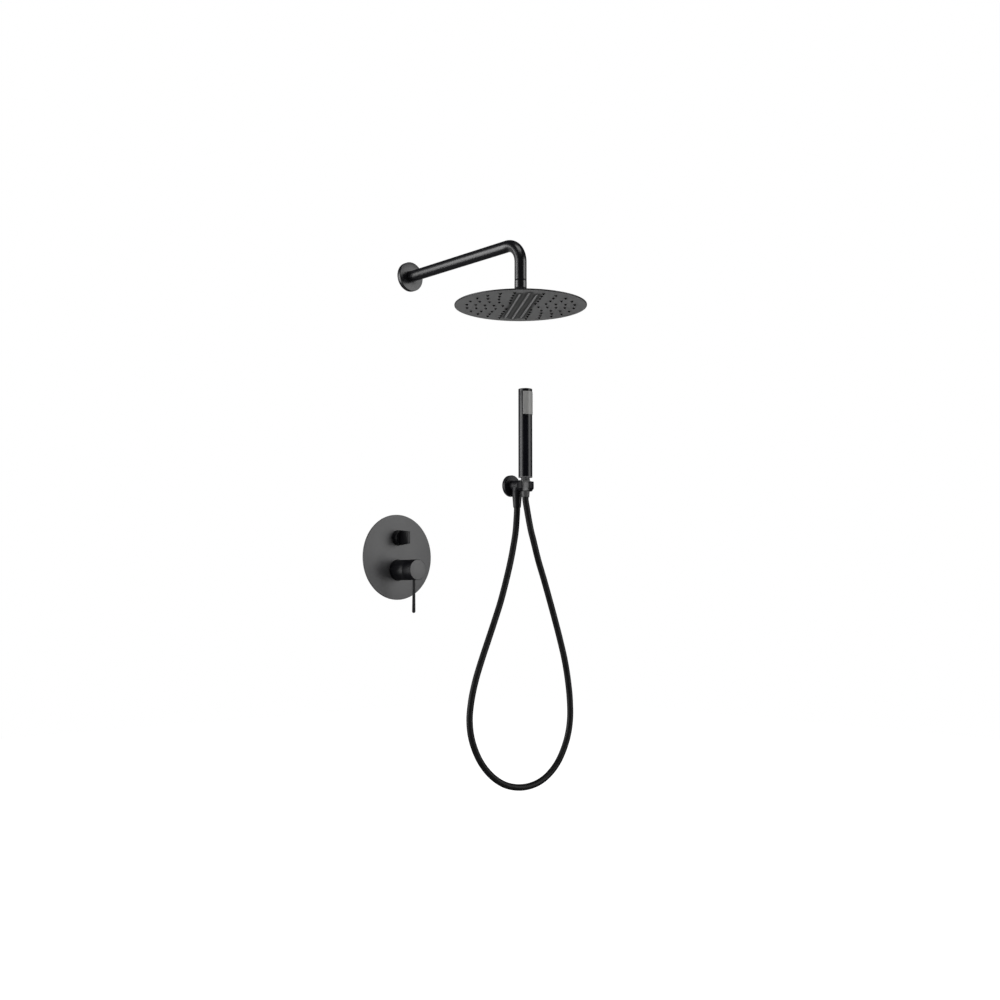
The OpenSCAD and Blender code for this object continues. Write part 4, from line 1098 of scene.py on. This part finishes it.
pin_low, _, pin_middle = mm_box("lever_pin")
pin_end = handle_low.z - pin_low.z
pin_place = (shift(pin_middle.x, pin_middle.y, handle_low.z)
             @ Matrix.Rotation(pi, 4, "X"))
pin_thin, pin_thick = 2.6, 3.5
pin_start = -1.5
pin_outline = [(0, pin_start), (pin_thin, pin_start), (pin_thick, pin_end - pin_thick)]
pin_outline += arc(pin_thick, pin_end - pin_thick, 0, 90, steps=8)[1:]
piece("lever_rod", turned(pin_outline, pin_place, segments=48), tap_coat, "lever",
      "lever_pin")

paint_nodes(brass, "lever_stem", "cartridge_nut")
paint_nodes(white_plastic, "stem_fork", "mixer_cartridge")
paint_nodes(steel, "fork_pin")

# ---- Diverter ----
# A short turned sleeve, and a knob with a flat blade that narrows towards its front.
# The knob is coated brass, held on the spindle by a grub screw.

knob_low, knob_high, _ = mm_box("diverter_knob")
knob_front = -knob_low.y
knob_back = -knob_high.y
knob_disc = 15.5
blade_half = 3.25
blade_root = 3
tip_half = 12.25
knob_place = wall_axis("diverter_sleeve")
base_bore = 14.05
base_front = -mm_box("diverter_sleeve")[0].y
base_inside = base_front - 1.6
spindle_hole = 6.5

piece("diverter_base",
      turned([(base_bore, sleeve_back), (diverter_radius, sleeve_back, 0.2),
              (diverter_radius, base_front, 0.5), (spindle_hole, base_front),
              (spindle_hole, base_inside), (base_bore, base_inside)], knob_place),
      tap_coat, "root", "diverter_sleeve")


def prism(outline, half, place, rounding=0.5):
    """Flat bar of an outline given in across and along, half as thick on each side."""
    build = bmesh.new()
    rims = [[build.verts.new((side * half * MM, a * MM, b * MM)) for a, b in outline]
            for side in (-1, 1)]
    build.faces.new(rims[0])
    build.faces.new(rims[1])
    for k in range(len(outline)):
        after = (k + 1) % len(outline)
        build.faces.new((rims[0][k], rims[0][after], rims[1][after], rims[1][k]))
    bmesh.ops.recalc_face_normals(build, faces=build.faces)
    if rounding:
        bmesh.ops.bevel(build, geom=list(build.edges), offset=rounding * MM, segments=3,
                        profile=0.5, affect="EDGES")
    build.transform(place)
    return build


root_half = diverter_radius - 0.1
blade = prism([(-root_half, knob_disc - blade_root), (-root_half, knob_disc),
               (-tip_half, knob_front), (tip_half, knob_front), (root_half, knob_disc),
               (root_half, knob_disc - blade_root)], blade_half, knob_place)
disc = turned([(0, knob_back), (diverter_radius, knob_back, 0.4),
               (diverter_radius, knob_disc, 0.8), (0, knob_disc)], knob_place)
knob = carved(disc, blade, mode="UNION")
piece("diverter_grip", knob, tap_coat, "diverter", "diverter_knob")
paint_nodes(steel, "diverter_screw")
paint_nodes(brass, "diverter_spindle", "diverter_nut")
paint_nodes(white_plastic, "diverter_cartridge")

# ---- Valve body ----
# Brass casting in the wall behind the plate, with machined ends. It carries the two
# cartridges and is screwed to the wall by its lugs.

paint_nodes(brass, "valve_body")

# ---- Hand outlet and cradle ----
# Turned outlet body with a nozzle for the hose on its underside, and an open ring
# in which the hose's cone nut rests. Both are brass, coated satin black. A check
# valve with a wound steel spring is pushed into the nozzle.

outlet_radius = 11.5
piece("outlet_cover", flange("outlet_flange", outlet_radius + flange_gap), tap_coat,
      "root", "outlet_flange")
paint_nodes(black_rubber, "outlet_grommet", "wall_washer", "hand_washer")
paint_nodes(white_plastic, "check_valve", "check_poppet")

coil_low, coil_high, coil_centre = mm_box("check_spring")
wire_radius = 0.35
coil_turns = 4
coil_steps = 24
coil_radius = mm_radius("check_spring") - wire_radius
coil_rise = coil_high.z - coil_low.z - 2 * wire_radius
coil_route = []
for step in range(coil_turns * coil_steps + 1):
    turn = 2 * pi * step / coil_steps
    rise = coil_low.z + wire_radius + coil_rise * step / (coil_turns * coil_steps)
    coil_route.append(MM * Vector((coil_centre.x + coil_radius * cos(turn),
                                   coil_centre.y + coil_radius * sin(turn), rise)))
coil = piece("check_coil", swept(coil_route, [wire_radius * MM], sides=10), steel,
             "root", "check_spring")
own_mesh(coil)

paint_nodes(brass, "wall_ferrule", "hand_ferrule")

barrel_low, barrel_high, _ = mm_box("outlet_body")
outlet_end = -barrel_low.y
outlet_thread = barrel_high.y
nozzle_depth = 23
nozzle_drop = 13
nozzle_radius = 10.9
nozzle_grip = 6
water_bore = 6
valve_pocket = 7.5
pocket_top = 7
spigot_radius = 6
spigot_gap = 0.05
spigot_low, spigot_high = outlet_end - 3.5, outlet_end + 1

wall_place = wall_axis("outlet_flange")
drop_place = (Matrix.Translation((outlet_centre.x, -nozzle_depth * MM, outlet_centre.z))
              @ Matrix.Rotation(pi, 4, "X"))
barrel = turned([(0, -outlet_thread), (thread_core, -outlet_thread, 0.6), (thread_core, 0),
                 (outlet_radius, 0), (outlet_radius, outlet_end), (0, outlet_end)],
                wall_place)
nozzle_end = nozzle_drop + nozzle_grip
nozzle = turned([(0, 0), (nozzle_radius, 0), (nozzle_radius, nozzle_drop, 0.4),
                 (thread_core, nozzle_drop), (thread_core, nozzle_end, 0.4),
                 (0, nozzle_end)], drop_place)
outlet = carved(carved(barrel, nozzle, mode="UNION"),
                plug(water_bore, -outlet_thread - 1, nozzle_depth, wall_place),
                plug(water_bore, 0, nozzle_end + 1, drop_place),
                plug(valve_pocket, pocket_top, nozzle_end + 1, drop_place),
                plug(spigot_radius + spigot_gap, spigot_low, spigot_high, wall_place))
piece("outlet_barrel",
      joined(outlet, threads(wall_place, -outlet_thread, outlet_thread),
             threads(drop_place, nozzle_drop, nozzle_grip)),
      tap_coat, "root", "outlet_body")

cradle_low = mm_box("hand_cradle")[0]
cradle_radius = mm_radius("hand_cradle")
cradle_height = 21
cradle_foot = cradle_radius - 4
foot_height = 6
ring_bottom = cradle_low.z
ring_top = ring_bottom + cradle_height
slot_width = 16
slot_reach = 40
slot_angle = 40
arm_end = 41.5
hand_axis = upright_axis("stick_tube")
nut_wide, nut_narrow, nut_length = 11.5, 8.5, 36
nut_top = mm_box("hand_nut")[1].z
nut_gap = 0.3


def cone_radius(depth):
    """Radius of a cone nut this far below its upper face."""
    return nut_wide - (nut_wide - nut_narrow) * depth / nut_length


seat_wide = cone_radius(nut_top - ring_top) + nut_gap
seat_narrow = cone_radius(nut_top - ring_bottom) + nut_gap
ring = turned([(0, ring_bottom), (cradle_foot, ring_bottom, 0.5),
               (cradle_radius, ring_bottom + foot_height, 0.8),
               (cradle_radius, ring_top, 0.7), (0, ring_top)], hand_axis)
holder_arm = plug(outlet_radius, outlet_end, arm_end, wall_place)
seat = turned([(0, ring_bottom - 1), (seat_narrow, ring_bottom - 1),
               (seat_narrow, ring_bottom), (seat_wide, ring_top),
               (nut_wide + nut_gap, ring_top), (nut_wide + nut_gap, ring_top + 10),
               (0, ring_top + 10)], hand_axis)
slot = prism([(0, ring_bottom - 5), (0, ring_top + 5), (-slot_reach, ring_top + 5),
              (-slot_reach, ring_bottom - 5)], slot_width / 2,
             hand_axis @ Matrix.Rotation(radians(-slot_angle), 4, "Z"), rounding=0)
cradle = carved(carved(ring, holder_arm, mode="UNION"), seat, slot, rounding=0.35)
spigot = plug(spigot_radius, spigot_low, spigot_high, wall_place)
piece("cradle", joined(cradle, spigot), dull_coat, "root", "hand_cradle")

# ---- Cone nuts ----
# Long turned brass cones that screw onto the outlet and the handset and swivel on the
# hose's ends. The upper one is plated, and rests in the cradle.


def cone_nut(node):
    """Cone nut over its whole height, with a fine groove near its wide end."""
    low, high, _ = mm_box(node)
    top, bottom = high.z, low.z
    hose_hole, ferrule_bore = 7.3, 9.08
    grip, ferrule_floor = 6.2, 10.6
    groove = [(cone_radius(depth) - 0.25, top - depth) for depth in (3.2, 3.8)]
    return turned([(thread_bore, top), (cone_radius(0), top, 0.4),
                   (cone_radius(3), top - 3, 0.1), *groove, (cone_radius(4), top - 4, 0.1),
                   (nut_narrow, bottom, 0.5), (hose_hole, bottom, 0.3),
                   (hose_hole, top - ferrule_floor), (ferrule_bore, top - ferrule_floor),
                   (ferrule_bore, top - grip), (thread_bore, top - grip)],
                  upright_axis(node))


def seat_painted_light(graph):
    """Painted light on the nut: lighter where it sits in the cradle, as a painted
    reflection, and darker below the ring and towards the top, as painted shade.
    """
    _, _, height = graph.parts(graph.node("ShaderNodeTexCoord", output="Object"))
    return ramp(graph, (height / MM - ring_bottom) / cradle_height,
                (0.02, 0.16), (0.14, 1.0), (0.8, 1.0), (1.0, 0.4))


# Plating of the hand nut, with its painted reflection in the cradle and painted shade below
# it.
nut_painted_light_plating = satin_coat("nut_metal", 0.30, 0.36, 0.46, specular=0.35,
                          name="nut_painted_light_plating", shade=seat_painted_light)
wall_nut = piece("wall_cone", cone_nut("wall_nut"), tap_coat, "root", "wall_nut")
hand_nut = piece("hand_cone", cone_nut("hand_nut"), nut_painted_light_plating, "handset", "hand_nut")

# ---- Handset ----
# Straight coated tube with a window for the moulded spray face near its top, a flat
# cap pressed in above and a plated brass neck screwed in below.

stick_coat = satin_coat("stick_black", 0.003, 0.2, 0.26, specular=0.36)
spray_plastic = moulding("spray_grey", 0.22, 0.4)

stick_low, stick_high, _ = mm_box("stick_tube")
stick_radius = mm_radius("stick_tube")
stick_wall = 1.2
stick_bore = stick_radius - stick_wall
fitting_radius = stick_bore - 0.05
cap_low, cap_high, _ = mm_box("stick_cap")
spray_low, spray_high, _ = mm_box("spray_face")
window_half = 62


def sector(inner, outer, half_angle, low, high, rounding=0.0):
    """Part of an upright ring, as wide as twice half_angle, that faces the room."""
    build = bmesh.new()
    steps = 40
    columns = []
    for k in range(steps + 1):
        angle = radians(-90 - half_angle + 2 * half_angle * k / steps)
        columns.append([build.verts.new((r * MM * cos(angle), r * MM * sin(angle), z * MM))
                        for r, z in ((inner, low), (outer, low), (outer, high),
                                     (inner, high))])
    for one, two in zip(columns, columns[1:]):
        for k in range(4):
            build.faces.new((one[k], one[(k + 1) % 4], two[(k + 1) % 4], two[k]))
    build.faces.new(columns[0])
    build.faces.new(columns[-1])
    bmesh.ops.recalc_face_normals(build, faces=build.faces)
    if rounding:
        sharp = [e for e in build.edges if e.calc_face_angle(0) > radians(60)]
        bmesh.ops.bevel(build, geom=sharp, offset=rounding * MM, segments=3,
                        profile=0.5, affect="EDGES")
    build.transform(hand_axis)
    return build


window = sector(stick_bore - 1, stick_radius + 1, window_half, spray_low.z,
                stick_high.z + 1)
tube = turned([(stick_bore, stick_low.z), (stick_radius, stick_low.z, 0.15),
               (stick_radius, stick_high.z, 0.15), (stick_bore, stick_high.z)],
              hand_axis, segments=128)
piece("stick_body", carved(tube, window), stick_coat, "handset", "stick_tube")
piece("stick_end",
      turned([(0, cap_low.z), (fitting_radius, cap_low.z), (fitting_radius, stick_high.z),
              (stick_radius, stick_high.z, 0.15), (stick_radius, cap_high.z, 0.8),
              (0, cap_high.z)], hand_axis, segments=128),
      stick_coat, "handset", "stick_cap")

spray_radius = -spray_low.y + hand_axis.translation.y / MM


def jet_tree():
    """Rows of small soft jets on a round face."""
    graph, given = geometry_tree("jets", {
        "Columns": (WHOLE, 5), "Rows": (WHOLE, 9), "Half angle": (NUMBER, 0.9),
        "Radius": (NUMBER, 15.5), "Height span": (NUMBER, 40.0),
        "Root radius": (NUMBER, 1.0), "Tip radius": (NUMBER, 0.75),
        "Height": (NUMBER, 0.45), "Bore radius": (NUMBER, 0.45), "Foot": (NUMBER, 0.2),
        "Rim radius": (NUMBER, 1.3)})
    grid = graph.node("GeometryNodeMeshGrid", None,
                      {"Size X": 2 * given["Half angle"], "Size Y": given["Height span"],
                       "Vertices X": given["Columns"], "Vertices Y": given["Rows"]})
    angle, height, _ = graph.parts(graph.node("GeometryNodeInputPosition"))
    out_x = graph.math("SINE", angle)
    out_y = graph.math("COSINE", angle) * -1
    capture = graph.node("GeometryNodeCaptureAttribute").socket.node
    capture.capture_items.new("VECTOR", "Outward")
    graph.feed(capture.inputs["Geometry"], grid)
    graph.feed(capture.inputs["Outward"], graph.vector(X=out_x, Y=out_y))
    spot = graph.vector(X=given["Radius"] * out_x, Y=given["Radius"] * out_y, Z=height)
    bent = graph.node("GeometryNodeSetPosition", None,
                      {"Geometry": Signal(graph, capture.outputs["Geometry"]),
                       "Position": spot})
    turn = graph.node("FunctionNodeAlignRotationToVector", {"axis": "Z"},
                      {"Vector": Signal(graph, capture.outputs["Outward"])})
    spread = graph.node("GeometryNodeInstanceOnPoints", None,
                        {"Points": bent, "Instance": nub(graph, given), "Rotation": turn})
    return close_tree(graph, given, spread)


spray_middle = (spray_low.z + spray_high.z) / 2
jets = grown(jet_tree(), spray_plastic,
             {"Half angle": radians(window_half - 10), "Radius": spray_radius,
              "Height span": spray_high.z - spray_low.z - 12},
             hand_axis @ shift(0, 0, spray_middle) @ Matrix.Scale(MM, 4))
shield = sector(stick_bore, spray_radius, window_half - 0.3, spray_low.z, spray_high.z,
                rounding=0.5)
piece("spray_shield", joined(shield, jets), spray_plastic, "handset", "spray_face")

neck_low, neck_high, _ = mm_box("stick_connector")
neck_ring = stick_low.z - 1.6
neck_bore = 5
tube_socket = 6.05
socket_floor = neck_ring + 8
neck = turned([(neck_bore, neck_low.z), (thread_core, neck_low.z, 0.5),
               (thread_core, neck_ring - 0.6), (thread_core + 1.2, neck_ring),
               (stick_radius, neck_ring, 0.3), (stick_radius, stick_low.z),
               (fitting_radius, stick_low.z), (fitting_radius, neck_high.z),
               (tube_socket, neck_high.z), (tube_socket, socket_floor),
               (neck_bore, socket_floor)], hand_axis)
neck_thread = threads(hand_axis, neck_low.z, neck_ring - neck_low.z - 1)
piece("stick_neck", joined(neck, neck_thread), nut_plating, "handset", "stick_connector")
paint_nodes(white_plastic, "water_tube", "spray_chamber")
